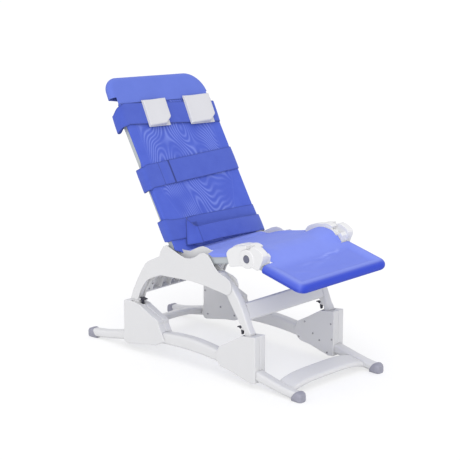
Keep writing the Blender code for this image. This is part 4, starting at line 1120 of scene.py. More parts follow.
def numbers(bm: bmesh.types.BMesh) -> tuple[bmesh.types.BMLayerItem, bmesh.types.BMLayerItem]:
    """The layers that hold each vertex's column and row."""
    return bm.verts.layers.int["column"], bm.verts.layers.int["row"]


def of_kind(made: dict[str, list], kind: type) -> list:
    """The vertices, edges or faces among what an operator made."""
    return [element for element in made["geom"] if isinstance(element, kind)]


def lay_cloth(
    columns: int,
    rows: int,
    spot: Callable[[int, int], Vector],
    flat: Callable[[int, int], tuple[float, float]],
    facing: Vector | None = None,
    gone: Callable[[int, int], bool] | None = None,
) -> bmesh.types.BMesh:
    """A single layer of cloth from a grid, moved to its place.

    Args:
        columns: Faces across.
        rows: Faces along.
        spot: The point of a column and a row.
        flat: The place on the flat cloth of a column and a row, in metres.
        facing: The side that the outer face looks to, at the cloth's middle.
        gone: True for the faces that are cut away, by column and row.

    Returns:
        The shape, with integer layers "column" and "row" on its vertices.
    """
    bm = numbered_grid(columns, rows, gone)
    column, row = numbers(bm)
    uv = bm.loops.layers.uv[CLOTH_MAP]
    for face in bm.faces:
        for loop in face.loops:
            loop[uv].uv = flat(loop.vert[column], loop.vert[row])
    for vert in bm.verts:
        vert.co = spot(vert[column], vert[row])
    bm.normal_update()
    if facing is not None:
        half = columns // 2
        middle = [f for f in bm.faces if all(v[column] in (half, half + 1) for v in f.verts)]
        middle.sort(key=lambda f: abs(f.verts[0][row] - rows // 2))
        if middle[0].normal.dot(facing) < 0:
            bmesh.ops.reverse_faces(bm, faces=bm.faces)
    return bm


def wrap_rim(
    bm: bmesh.types.BMesh,
    chosen: Callable[[bmesh.types.BMVert], bool],
    steps: int,
    move: Callable[[int, int, int], Vector],
    run: Callable[[int], float],
) -> None:
    """Extrudes a part of the cloth's rim in steps, to wrap it round a tube.

    Args:
        bm: The cloth.
        chosen: True for the rim's vertices.
        steps: How many extrusions follow each other.
        move: The point of a column, a row and a step.
        run: How far along the cloth a step lies from the rim.
    """
    column, row = numbers(bm)
    uv = bm.loops.layers.uv[CLOTH_MAP]
    rim = [e for e in bm.edges if e.is_boundary and all(chosen(v) for v in e.verts)]
    starts = {}
    for edge in rim:
        for vert in edge.verts:
            face_loop = next(loop for loop in vert.link_loops)
            starts[(vert[column], vert[row])] = face_loop[uv].uv.copy()
    for step in range(1, steps + 1):
        made = bmesh.ops.extrude_edge_only(bm, edges=rim)
        fresh = set(of_kind(made, bmesh.types.BMVert))
        rim = [e for e in of_kind(made, bmesh.types.BMEdge) if all(v in fresh for v in e.verts)]
        for vert in fresh:
            vert.co = move(vert[column], vert[row], step)
        for face in of_kind(made, bmesh.types.BMFace):
            for loop in face.loops:
                start = starts[(loop.vert[column], loop.vert[row])]
                far = run(step if loop.vert in fresh else step - 1)
                side = 1.0 if start.x > 0 else -1.0
                loop[uv].uv = (start.x + side * far, start.y)


def thicken(bm: bmesh.types.BMesh, name: str, thickness: float) -> bpy.types.Object:
    """Gives a layer of cloth its thickness behind its outer face.

    Args:
        bm: The layer.
        name: The piece's name.
        thickness: The cloth's thickness.

    Returns:
        The finished object.
    """
    piece = link(name, bm, SOFT_ANGLE)
    shell = piece.modifiers.new("thickness", "SOLIDIFY")
    shell.thickness = thickness
    shell.offset = -1.0
    shell.use_even_offset = True
    shell.use_quality_normals = True
    return settle(piece)


def darken(piece: bpy.types.Object, share: Callable[[Vector], float]) -> None:
    """Gives a cloth its map of painted shade and painted highlights.

    Args:
        piece: The finished cloth.
        share: How much painted shade a place has, from 0 to 1, or how much painted highlight as a number
            below 0.
    """
    layer = piece.data.attributes.new(PAINTED_LIGHT_MAP, "FLOAT", "POINT")
    for vert, value in zip(piece.data.vertices, layer.data):
        value.value = max(-1.0, min(1.0, share(vert.co)))


# The stand


@dataclass
class Stand:
    """The stand: two bowed rails, two cross members and four leg cups."""

    cup_face: float = 0.1695
    front_leg_y: float = -0.271
    rear_leg_y: float = 0.258
    front_screws: tuple[tuple[float, float], ...] = (
        (0.086, 0.118),
        (-0.031, 0.134),
        (0.049, 0.084),
        (0.113, 0.058),
        (0.019, 0.066),
        (-0.036, 0.080),
        (-0.016, 0.030),
    )
    rear_screws: tuple[tuple[float, float], ...] = (
        (-0.035, 0.130),
        (0.042, 0.084),
        (-0.022, 0.045),
        (0.110, 0.066),
    )
    heads: Screws = Screws()
    rail_edge: Softening = Softening(0.0015, 2, 32.0, 0.001)
    cup_edge: Softening = Softening(0.0032, melt=0.0013, melt_steps=8, melt_share=0.3)
    member_edge: Softening = Softening(0.003, melt=0.0016, melt_steps=8, melt_share=0.3)

    def build(self) -> None:
        """Makes and dresses the whole stand."""
        for side in Side:
            self.rail_edge.apply(f"rail_{side.word}", WHITE)
            for end in End:
                self.rail_edge.apply(f"rail_foot_{end.word}_{side.word}", RUBBER)
                for half in ("inner", "outer"):
                    self.cup_edge.apply(f"cup_{half}_{end.word}_{side.word}", WHITE)
                dress(f"cup_gasket_{end.word}_{side.word}", GASKET)
        for end in End:
            self.member_edge.apply(f"cross_member_{end.word}", WHITE)
        self.screws()

    def screws(self) -> None:
        """The dark screws on the inner faces of the cups."""
        feet = []
        for side in Side:
            for end, leg_y, places in (
                (End.FRONT, self.front_leg_y, self.front_screws),
                (End.REAR, self.rear_leg_y, self.rear_screws),
            ):
                for out, z in places:
                    foot = Vector((side.value * self.cup_face, leg_y + end.value * out, z))
                    feet.append((foot, Vector((-side.value, 0.0, 0.0))))
        self.heads.make("cup_screws", feet, "stand")


# The chair base


@dataclass
class Base:
    """The base that drops into the cups: two wave-shaped arches, four legs and two beams."""

    arch_face: float = 0.177
    arch_screws: tuple[tuple[float, float], ...] = ((-0.139, 0.345), (-0.177, 0.331))
    beam_reach: float = 0.1767
    beam_y: float = 0.234
    beam_z: float = 0.242
    beam_depth: float = 0.024
    beam_lean: float = 23.0
    beam_screws: tuple[tuple[float, float], ...] = ((0.010, 0.018), (0.017, 0.004), (0.008, -0.016))
    heads: Screws = Screws()
    arch_edge: Softening = Softening(0.0016, 3, 28.0, 0.0015)
    leg_edge: Softening = Softening(0.0012, 2, 32.0, 0.0015)
    beam_edge: Softening = Softening(0.0010, 2, 32.0, 0.0015)
    latch_edge: Softening = Softening(0.0006, melt=0.0005, melt_steps=5)

    def build(self) -> None:
        """Makes and dresses the whole base."""
        for side in Side:
            for half in ("inner", "outer"):
                self.arch_edge.apply(f"arch_{half}_{side.word}", WHITE)
            for end in End:
                self.leg_edge.apply(f"{end.word}_leg_{side.word}", WHITE)
                self.latch_edge.apply(f"latch_{end.word}_{side.word}", BLACK)
            dress(f"back_pivot_pin_{side.word}", STEEL)
            dress(f"seat_pivot_pin_{side.word}", STEEL)
        for end in End:
            self.beam_edge.apply(f"{end.word}_beam", WHITE)
        self.screws()

    def screws(self) -> None:
        """The dark screws of the arches and of the rear beam."""
        feet = []
        lean = math.radians(self.beam_lean)
        face = Vector((0.0, -math.cos(lean), -math.sin(lean)))
        rise = Vector((0.0, -math.sin(lean), math.cos(lean)))
        for side in Side:
            for y, z in self.arch_screws:
                foot = Vector((side.value * self.arch_face, y, z))
                feet.append((foot, Vector((-side.value, 0.0, 0.0))))
            for out, up in self.beam_screws:
                foot = Vector((side.value * (self.beam_reach - out), self.beam_y, self.beam_z))
                feet.append((foot + face * (self.beam_depth / 2) + rise * up, face))
        self.heads.make("base_screws", feet, "chair_base")


# The seat and calf rest


@dataclass
class SeatFrame:
    """The seat's tubes, the knee hubs with their buttons, and the calf rest's tube."""

    tube_edge: Softening = Softening(0.0008, 2, 40.0)
    hub_edge: Softening = Softening(0.0016, melt=0.0009, melt_steps=9, melt_share=0.35)
    button_edge: Softening = Softening(0.0007, 2, 30.0, 0.0005)
    slide_gap: float = 0.0006

    def build(self) -> None:
        """Makes and dresses the seat's and the calf rest's hard parts."""
        self.tube_edge.apply("seat_cross_tube", TUBE)
        self.tube_edge.apply("calf_frame", TUBE)
        for side in Side:
            self.tube_edge.apply(f"seat_tube_{side.word}", TUBE)
            # The hubs wear the lighter copy of the white, which paints light on them.
            self.hub_edge.apply(f"knee_hub_seat_{side.word}", HUB_WHITE_PAINTED_LIGHTER)
            self.hub_edge.apply(f"knee_hub_calf_{side.word}", HUB_WHITE_PAINTED_LIGHTER)
            self.slim(self.button_edge.apply(f"knee_button_{side.word}", BUTTON))

    def slim(self, piece: bpy.types.Object) -> None:
        """Draws a piece's skin in a little, so that it slides free in its bore.

        Args:
            piece: The piece.
        """
        inner = [vert.co - vert.normal * self.slide_gap for vert in piece.data.vertices]
        for vert, spot in zip(piece.data.vertices, inner):
            vert.co = spot


@dataclass(frozen=True)
class Fold:
    """A soft fold that stands up from the calf rest, or lies lower with a height below 0."""

    x: float
    c: float
    lean: float
    reach: float
    width: float
    height: float
    sway: float = 0.004
    sway_turn: float = 60.0

    def rise(self, x: float, c: float) -> float:
        """How far the fold lifts the cloth at a place.

        Args:
            x: The place across.
            c: The place forward from the knee's pivot.

        Returns:
            The lift.
        """
        dx, dc = x - self.x, c - self.c
        along = dx * math.cos(self.lean) + dc * math.sin(self.lean)
        away = -dx * math.sin(self.lean) + dc * math.cos(self.lean)
        away += self.sway * math.sin(along * self.sway_turn)
        return self.height * math.exp(-((away / self.width) ** 2) - (along / self.reach) ** 2)


@dataclass
class SeatCover:
    """One cloth from the foot of the back over the knee to the roll of the calf rest.

    Places along it are s, forward from the seat's pivot, and c, forward from the knee's pivot.
    """

    thickness: float = 0.0017
    # Along the cloth
    back_end: float = -0.106
    hem: float = 0.002
    neck_end: float = 0.022
    wide_start: float = 0.028
    hub_start: float = 0.114
    bend_start: float = 0.190
    bend_end: float = 0.022
    bend_run: float = 0.036
    bend_pull: float = 0.36
    slot_start: float = 0.040
    slot_step: float = 0.0015
    calf_start: float = 0.0655
    edge_zone: float = 0.060
    edge_rolls: float = 2.2
    # Across it
    neck_half: float = 0.1735
    wide_half: float = 0.2025
    inner_half: float = 0.1650
    slot_half: float = 0.1730
    side_strip: float = 0.001
    # Heights over the tubes' planes, and the tube and cheeks below the cloth
    seat_level: float = 0.0213
    seat_crown: float = 0.0035
    knee_level: float = 0.0205
    knee_lift: float = 0.0003
    tube_level: float = -0.0105
    tube_inside: float = 0.03
    web_half: float = 0.0078
    roll: float = 0.0155
    tube_x: float = 0.2005
    tube_front: float = 0.2245
    tube_corner: float = 0.019
    cheek_radius: float = 0.0350
    flare_height: float = 0.0145
    flare_start: float = 0.005
    flare_width: float = 0.034
    arch_lift: float = 0.0065
    arch_x: float = 0.172
    arch_width: float = 0.026
    rear_lift: float = 0.0080
    # The turn-ins round the tubes
    under_turn: float = -11.5
    under_steps: int = 10
    hem_steps: int = 5
    hem_run: float = 0.016
    hem_level: float = -0.0050
    under_run: float = 0.2
    curl_run: float = 0.004
    # The grid
    bend_rows: int = 8
    hub_rows: int = 13
    columns: Columns = Columns(44, 12)
    # Where the heights change
    cheek: Ramp = Ramp(0.085, 0.080)
    cheek_end: Ramp = Ramp(0.012, 0.054)
    web_fall: Ramp = Ramp(0.004, 0.105)
    knee_flat: Ramp = Ramp(0.11, 0.08)
    arch_start: Ramp = Ramp(-0.070, 0.075)
    arch_end: Ramp = Ramp(0.020, 0.070)
    rear_rise: Ramp = Ramp(-0.050, -0.050)
    hub_rise: Ramp = Ramp(0.128, 0.060)
    curl_start: Ramp = Ramp(0.027, 0.020)
    curl_least: float = 0.12
    seat_ripple: Ripple = Ripple(0.00035, 16.0, 3.1)
    calf_ripple: Ripple = Ripple(0.0004, 18.0, 7.7)
    # The painted shade on the roll, below it and on the folds' lower sides, and the painted highlights on
    # the folds' tops and the roll's ridge
    front_dark: float = 0.95
    side_dark: float = 0.72
    under_dark: float = 0.60
    fold_dark: float = 120.0
    fold_pale: float = 330.0
    fold_least: float = 0.0009
    ridge_pale: float = 0.06
    ridge_width: float = 0.0025
    ridge_rolls: float = 2.35
    fold_below: float = 0.006
    fold_above: float = 0.002
    palest_fold: float = -0.65
    darkest_fold: float = 0.30
    # The steps over the seat tubes as outwards and down, and the folds
    curls: tuple[tuple[float, float], ...] = (
        (0.0030, 0.0008),
        (0.0052, 0.0026),
        (0.0062, 0.0052),
        (0.0064, 0.0086),
        (0.0060, 0.0125),
    )
    folds: tuple[Fold, ...] = (
        Fold(0.055, 0.098, -0.04, 0.062, 0.0050, 0.0028),
        Fold(0.118, 0.092, -0.25, 0.022, 0.0048, 0.0022),
        Fold(0.046, 0.116, 0.02, 0.024, 0.0056, 0.0018),
        Fold(-0.060, 0.116, 0.08, 0.050, 0.0085, 0.0017),
        Fold(-0.020, 0.136, -0.06, 0.060, 0.0090, 0.0014),
        Fold(-0.120, 0.150, 0.50, 0.045, 0.0090, 0.0012),
        Fold(0.030, 0.160, 0.15, 0.090, 0.0150, -0.0010),
    )

    def __post_init__(self) -> None:
        """Sets out the rows: their kind, and s, c or the share of the bend."""
        self.front_edge = self.tube_front + self.roll
        self.side_edge = self.tube_x + self.roll
        seat = [self.back_end, self.back_end + self.hem]
        seat += steps(self.back_end + self.hem, self.neck_end, 24)
        seat += steps(self.neck_end, self.wide_start, 4)
        seat += steps(self.wide_start, self.hub_start, 14)
        seat += steps(self.hub_start, self.bend_start, self.hub_rows)
        calf = [self.bend_end] + steps(self.bend_end, self.slot_start - self.slot_step, 4)
        calf += steps(self.slot_start - self.slot_step, self.slot_start, 1)
        calf += steps(self.slot_start, self.calf_start, 6)
        zone = self.front_edge - self.edge_zone
        rise = self.front_edge - self.edge_rolls * self.roll
        calf += steps(self.calf_start, zone, 20) + steps(zone, rise, 8)
        calf += steps(rise, self.front_edge - self.roll, 6)
        for i in range(1, 9):
            calf.append(self.front_edge - self.roll * (1.0 - math.sin(math.radians(90.0 * i / 8))))
        self.rows: list[tuple[str, float]] = [("seat", s) for s in seat]
        self.rows += [("bend", i / self.bend_rows) for i in range(1, self.bend_rows)]
        self.calf_row = len(self.rows) + next(k for k, c in enumerate(calf) if self.past_hubs(c))
        self.rows += [("calf", c) for c in calf]
        self.first_hub_row = len(seat) - 1 - self.hub_rows

    def past_hubs(self, c: float) -> bool:
        """True where the calf rest reaches over its tube again, in front of the hubs."""
        return c >= self.calf_start - NEAR

    def half_width(self, j: int) -> float:
        """Half the cloth's width in a row.

        Args:
            j: The row.

        Returns:
            Half the width.
        """
        kind, t = self.rows[j]
        if kind == "seat":
            ease = smooth_step((t - self.neck_end) / (self.wide_start - self.neck_end))
            return mix(self.neck_half, self.wide_half, ease)
        if kind == "bend" or not self.past_hubs(t):
            return self.inner_edge(j) + self.side_strip
        corner = self.tube_corner + self.roll
        over = max(0.0, t - (self.front_edge - corner))
        return self.side_edge - corner + arc(corner, over)

    def inner_edge(self, j: int) -> float:
        """Half the width between the hubs in a row, which is wider in front of their cheeks.

        Args:
            j: The row.

        Returns:
            Half the width.
        """
        kind, t = self.rows[j]
        in_slot = kind == "calf" and self.slot_start - NEAR <= t and not self.past_hubs(t)
        return self.slot_half if in_slot else self.inner_half

    def across(self, i: int, j: int) -> float:
        """Where a column lies across, in a row."""
        crowded = self.rows[j][0] == "calf"
        return self.columns.lie(i, self.inner_edge(j), self.half_width(j), crowded)

    def tube_offset(self, x: float, c: float) -> tuple[float, Vector, Vector]:
        """How far a place lies outside the tube's middle line, the nearest point and the way out.

        Args:
            x: The place across.
            c: The place forward from the knee's pivot.

        Returns:
            The distance, below 0 on the inner side, the nearest point and the way out.
        """
        straight = self.tube_x - self.tube_corner
        foot = self.tube_front - self.tube_corner
        if abs(x) > straight and c > foot:
            centre = Vector((math.copysign(straight, x), foot))
            ray = Vector((x, c)) - centre
            out = ray.normalized() if ray.length > 1e-9 else Vector((0.0, 1.0))
            return ray.length - self.tube_corner, centre + out * self.tube_corner, out
        side = abs(x) - self.tube_x
        front = c - self.tube_front
        if side > front:
            return side, Vector((math.copysign(self.tube_x, x), c)), Vector((math.copysign(1.0, x), 0.0))
        return front, Vector((x, self.tube_front)), Vector((0.0, 1.0))

    def creases(self, x: float, c: float) -> float:
        """How far the soft folds lift the calf rest at a place."""
        return sum(fold.rise(x, c) for fold in self.folds)

    def up_cheek(self, x: float) -> float:
        """How far the cloth is pulled up the hubs' cheeks at a place across."""
        return (self.cheek_radius - self.knee_level) * self.cheek.at(abs(x))

    def calf_top(self, x: float, c: float) -> float:
        """Height of the cloth over the knee's plane on the calf rest.

        Args:
            x: The place across.
            c: The place forward from the knee's pivot.

        Returns:
            The height.
        """
        web = mix(self.knee_level, self.tube_level + self.web_half, self.web_fall.at(c))
        web += self.up_cheek(x) * (1.0 - self.cheek_end.at(c))
        if c < self.calf_start - self.tube_inside:
            return web
        out, _, _ = self.tube_offset(x, c)
        if out > 0.0:
            return self.tube_level + arc(self.roll, out)
        flare = self.flare_height * bell(max(0.0, -out - self.flare_start), self.flare_width)
        lift = max(arc(self.roll, out), flare)
        if lift <= self.web_half:
            return web
        start = smooth_step((c - self.calf_start + self.tube_inside) / self.tube_inside)
        return max(web, mix(web, self.tube_level + lift, start))

    def seat_top(self, x: float, s: float) -> float:
        """Height of the cloth over the seat's plane.

        Args:
            x: The place across.
            s: The place forward from the seat's pivot.

        Returns:
            The height.
        """
        flat = self.knee_flat.at(s)
        bow = self.seat_crown * (1.0 - flat) * (1.0 - (x / self.wide_half) ** 2)
        by_arch = self.arch_start.at(s) * (1.0 - self.arch_end.at(s))
        beside = self.arch_lift * by_arch * bell(abs(x) - self.arch_x, self.arch_width)
        beside += self.rear_lift * self.rear_rise.at(s)
        by_hub = self.up_cheek(x) * self.hub_rise.at(s)
        return mix(self.seat_level, self.knee_level + self.knee_lift, flat) + bow + beside + by_hub

    def spot(self, i: int, j: int) -> Vector:
        """The cloth's upper face at a column and a row.

        Args:
            i: The column.
            j: The row.

        Returns:
            The point in the whole chair.
        """
        kind, t = self.rows[j]
        x = self.across(i, j)
        if kind == "seat":
            return SEAT.at(x, -t, self.seat_top(x, t) + self.seat_ripple.at(x, t))
        if kind == "calf":
            inside = smooth_step(-self.tube_offset(x, t)[0] / self.tube_inside)
            rough = (self.calf_ripple.at(x, t) + self.creases(x, t)) * inside
            return KNEE.at(x, -t, self.calf_top(x, t) + rough)
        start = SEAT.at(x, -self.bend_start, self.seat_top(x, self.bend_start))
        end = KNEE.at(x, -self.bend_end, self.calf_top(x, self.bend_end))
        pull = (end - start).length * self.bend_pull
        leave, arrive = SEAT.way(0.0, -1.0, 0.0) * pull, KNEE.way(0.0, 1.0, 0.0) * pull
        return self.curve(start, start + leave, end + arrive, end, t)

    @staticmethod
    def curve(a: Vector, b: Vector, c: Vector, d: Vector, t: float) -> Vector:
        """A point of a cubic curve."""
        u = 1.0 - t
        return a * u**3 + b * (3 * u * u * t) + c * (3 * u * t * t) + d * t**3

    def flat(self, i: int, j: int) -> tuple[float, float]:
        """The place on the flat cloth of a column and a row.

        Args:
            i: The column.
            j: The row.

        Returns:
            The places across and along.
        """
        kind, t = self.rows[j]
        bend_stop = self.bend_start + self.bend_run
        runs = {"seat": t, "bend": mix(self.bend_start, bend_stop, t), "calf": bend_stop + t - self.bend_end}
        return (self.across(i, j), runs[kind])

    def gone(self, i: int, j: int) -> bool:
        """True for the faces that are cut away beside the hubs."""
        return self.columns.outside(i) and self.first_hub_row <= j < self.calf_row

    def under(self, i: int, j: int, step: int) -> Vector:
        """The cloth's way round the calf rest's tube, below it.

        Args:
            i: The column.
            j: The row.
            step: The step of the way, from 1.

        Returns:
            The point in the whole chair.
        """
        _, near, out = self.tube_offset(self.across(i, j), self.rows[j][1])
        turn = math.radians(self.under_turn * min(step, self.under_steps))
        away, level = self.roll * math.cos(turn), self.roll * math.sin(turn)
        if step > self.under_steps:
            share = (step - self.under_steps) / self.hem_steps
            away = mix(away, -self.hem_run, share)
            level = mix(level, self.hem_level, smooth_step(share))
        spot = near + out * away
        return KNEE.at(spot.x, -spot.y, self.tube_level + level)

    def curl(self, i: int, j: int, step: int) -> Vector:
        """The cloth's way over the outer side of a seat tube.

        Args:
            i: The column.
            j: The row.
            step: The step of the way, from 1.

        Returns:
            The point in the whole chair.
        """
        s = self.rows[j][1]
        side = math.copysign(1.0, self.across(i, j))
        away, drop = self.curls[step - 1]
        drop *= mix(self.curl_least, 1.0, self.curl_start.at(s))
        return SEAT.at(side * (self.wide_half + away), -s, self.seat_top(self.wide_half, s) - drop)

    def shade(self, spot: Vector) -> float:
        """The painted shade on the cloth, on the roll, below it and on the folds' lower sides, and its
        painted highlights on the folds' tops and along the roll's ridge.

        Args:
            spot: A point of the cloth.

        Returns:
            The painted shade, up to 1, or a number below 0 for a painted highlight.
        """
        place = KNEE.matrix().inverted() @ spot
        x, c = place.x, -place.y
        if c < self.slot_start:
            return 0.0
        # Painted shade on the roll's front and side, and beneath the roll.
        low = smooth_step((self.tube_level + self.roll * 0.95 - place.z) / (self.roll * 1.2))
        front = smooth_step((c - (self.front_edge - self.roll * 2.0)) / (self.roll * 1.7))
        side = smooth_step((abs(x) - (self.side_edge - self.roll * 1.3)) / (self.roll * 1.3))
        rim = max(self.front_dark * front, self.side_dark * side)
        dark = max(rim, low * max(self.under_dark, front, self.front_dark * side))
        # Painted shade on the folds' lower sides, and painted highlights on their tops and along the roll's
        # ridge.
        fold = 0.0
        if place.z > self.tube_level:
            lower = self.creases(x, c - self.fold_below) - self.creases(x, c + self.fold_above)
            upper = self.creases(x, c) - self.fold_least
            fold = max(0.0, lower) * self.fold_dark - max(0.0, upper) * self.fold_pale
            ridge = c - (self.front_edge - self.roll * self.ridge_rolls)
            fold -= self.ridge_pale * bell(ridge, self.ridge_width) * (1.0 - side)
        fold = max(self.palest_fold, min(self.darkest_fold, fold))
        return dark + fold * (1.0 - smooth_step(dark * 4.0))

    def build(self) -> None:
        """Makes and dresses the cloth."""
        last = len(self.rows) - 1
        count = self.columns.count
        bm = lay_cloth(count, last, self.spot, self.flat, Vector((0.0, 0.0, 1.0)), self.gone)
        column, row = numbers(bm)
        wide_row = next(j for j, (_, s) in enumerate(self.rows) if self.wide_start - NEAR <= s)

        def on_calf_rim(vert: bmesh.types.BMVert) -> bool:
            """True on the outer edge of the calf rest."""
            return vert[row] == last or (vert[column] in (0, count) and vert[row] >= self.calf_row)

        def on_seat_edge(vert: bmesh.types.BMVert) -> bool:
            """True on the edges that lie over the seat tubes."""
            return wide_row <= vert[row] <= self.first_hub_row and vert[column] in (0, count)

        turns = self.under_steps + self.hem_steps
        wrap_rim(bm, on_calf_rim, turns, self.under, lambda step: self.roll * self.under_run * step)
        wrap_rim(bm, on_seat_edge, len(self.curls), self.curl, lambda step: self.curl_run * step)
        piece = thicken(bm, "seat_and_calf_cover", self.thickness)
        # Paints shade and highlights into the cloth's colour through its map.
        darken(piece, self.shade)
        wear(piece, SEAT_CLOTH, "", "seat_sling", "calf_cover")
        start = SEAT.at(0.0, -0.170, self.seat_level)
        end = KNEE.at(0.0, -0.040, self.knee_level)
        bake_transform(piece, "seat_frame", "calf_rest", start=tuple(start), end=tuple(end))


# The backrest


def on_back(x: float, u: float, n: float) -> Vector:
    """A place x across, u up from the back's pivot and n towards the occupant."""
    return BACK.at(x, -n, u)


@dataclass
class NetPanel:
    """The net stretched between the back's tubes, with a sleeve round each."""

    half: float = 0.2065
    narrow_half: float = 0.1740
    side_strip: float = 0.0012
    foot: float = -0.018
    hem: float = 0.002
    slope_from: float = -0.009
    wide_from: float = 0.012
    top: float = 0.5225
    front: float = 0.0449
    sag: float = 0.0020
    thickness: float = 0.0018
    lip_run: float = 0.0035
    lip_foot_share: float = 0.30
    lip_head_share: float = 0.36
    columns: Columns = Columns(36, 8)
    ripple: Ripple = Ripple(0.00025, 14.0, 5.0)
    slant: Ramp = Ramp(0.30, 0.22)
    lip_start: Ramp = Ramp(0.052, 0.030)
    lip_end: Ramp = Ramp(0.300, 0.030)
    lips: tuple[tuple[float, float], ...] = (
        (0.0017, 0.0007),
        (0.0026, 0.0022),
        (0.0030, 0.0045),
        (0.0030, 0.0100),
        (0.0028, 0.0155),
    )

    def __post_init__(self) -> None:
        """Sets out the rows by their height."""
        self.rows = [self.foot, self.foot + self.hem]
        self.rows += steps(self.foot + self.hem, self.slope_from, 4)
        self.wide_row = len(self.rows) - 1
        self.rows += steps(self.slope_from, self.wide_from, 7)
        self.rows += steps(self.wide_from, self.top, 66)

    def across(self, i: int, j: int) -> float:
        """Where a column lies across, in a row.

        Args:
            i: The column.
            j: The row.

        Returns:
            The place across.
        """
        spread = (self.rows[j] - self.slope_from) / (self.wide_from - self.slope_from)
        wide = mix(self.narrow_half + self.side_strip, self.half, smooth_step(spread))
        return self.columns.lie(i, self.narrow_half, wide)

    def level(self, x: float, j: int) -> float:
        """How high up the back a place lies, with the head end's slant."""
        u = self.rows[j]
        return u - x * math.tan(math.radians(HEAD_TURN)) * self.slant.at(u)

    def spot(self, i: int, j: int) -> Vector:
        """The net's front face at a column and a row.

        Args:
            i: The column.
            j: The row.

        Returns:
            The point in the whole chair.
        """
        x = self.across(i, j)
        u = self.level(x, j)
        return on_back(x, u, self.front - (self.sag * (1.0 - (x / self.half) ** 2) + self.ripple.at(x, u)))

    def flat(self, i: int, j: int) -> tuple[float, float]:
        """The place on the flat cloth of a column and a row."""
        x = self.across(i, j)
        return (x, self.level(x, j))

    def gone(self, i: int, j: int) -> bool:
        """True for the faces beside the narrow foot."""
        return self.columns.outside(i) and j < self.wide_row

    def lip(self, i: int, j: int, step: int) -> Vector:
        """The sleeve's way round the outer side of the tube.

        Args:
            i: The column.
            j: The row.
            step: The step of the way, from 1.

        Returns:
            The point in the whole chair.
        """
        x, u = self.across(i, j), self.rows[j]
        away, back = self.lips[step - 1]
        back *= mix(self.lip_foot_share, 1.0, self.lip_start.at(u))
        back *= mix(1.0, self.lip_head_share, self.lip_end.at(u))
        return on_back(x + math.copysign(away, x), self.level(x, j), self.front - back)

    def build(self) -> None:
        """Makes and dresses the net."""
        count = self.columns.count
        last = len(self.rows) - 1
        bm = lay_cloth(count, last, self.spot, self.flat, BACK.way(0.0, -1.0, 0.0), self.gone)
        column, row = numbers(bm)

        def on_side(vert: bmesh.types.BMVert) -> bool:
            """True on the outer edges."""
            return vert[column] in (0, count) and vert[row] >= self.wide_row

        wrap_rim(bm, on_side, len(self.lips), self.lip, lambda step: self.lip_run * step)
        piece = thicken(bm, "back_net_panel", self.thickness)
        wear(piece, NET_CLOTH, "backrest", "back_sling")


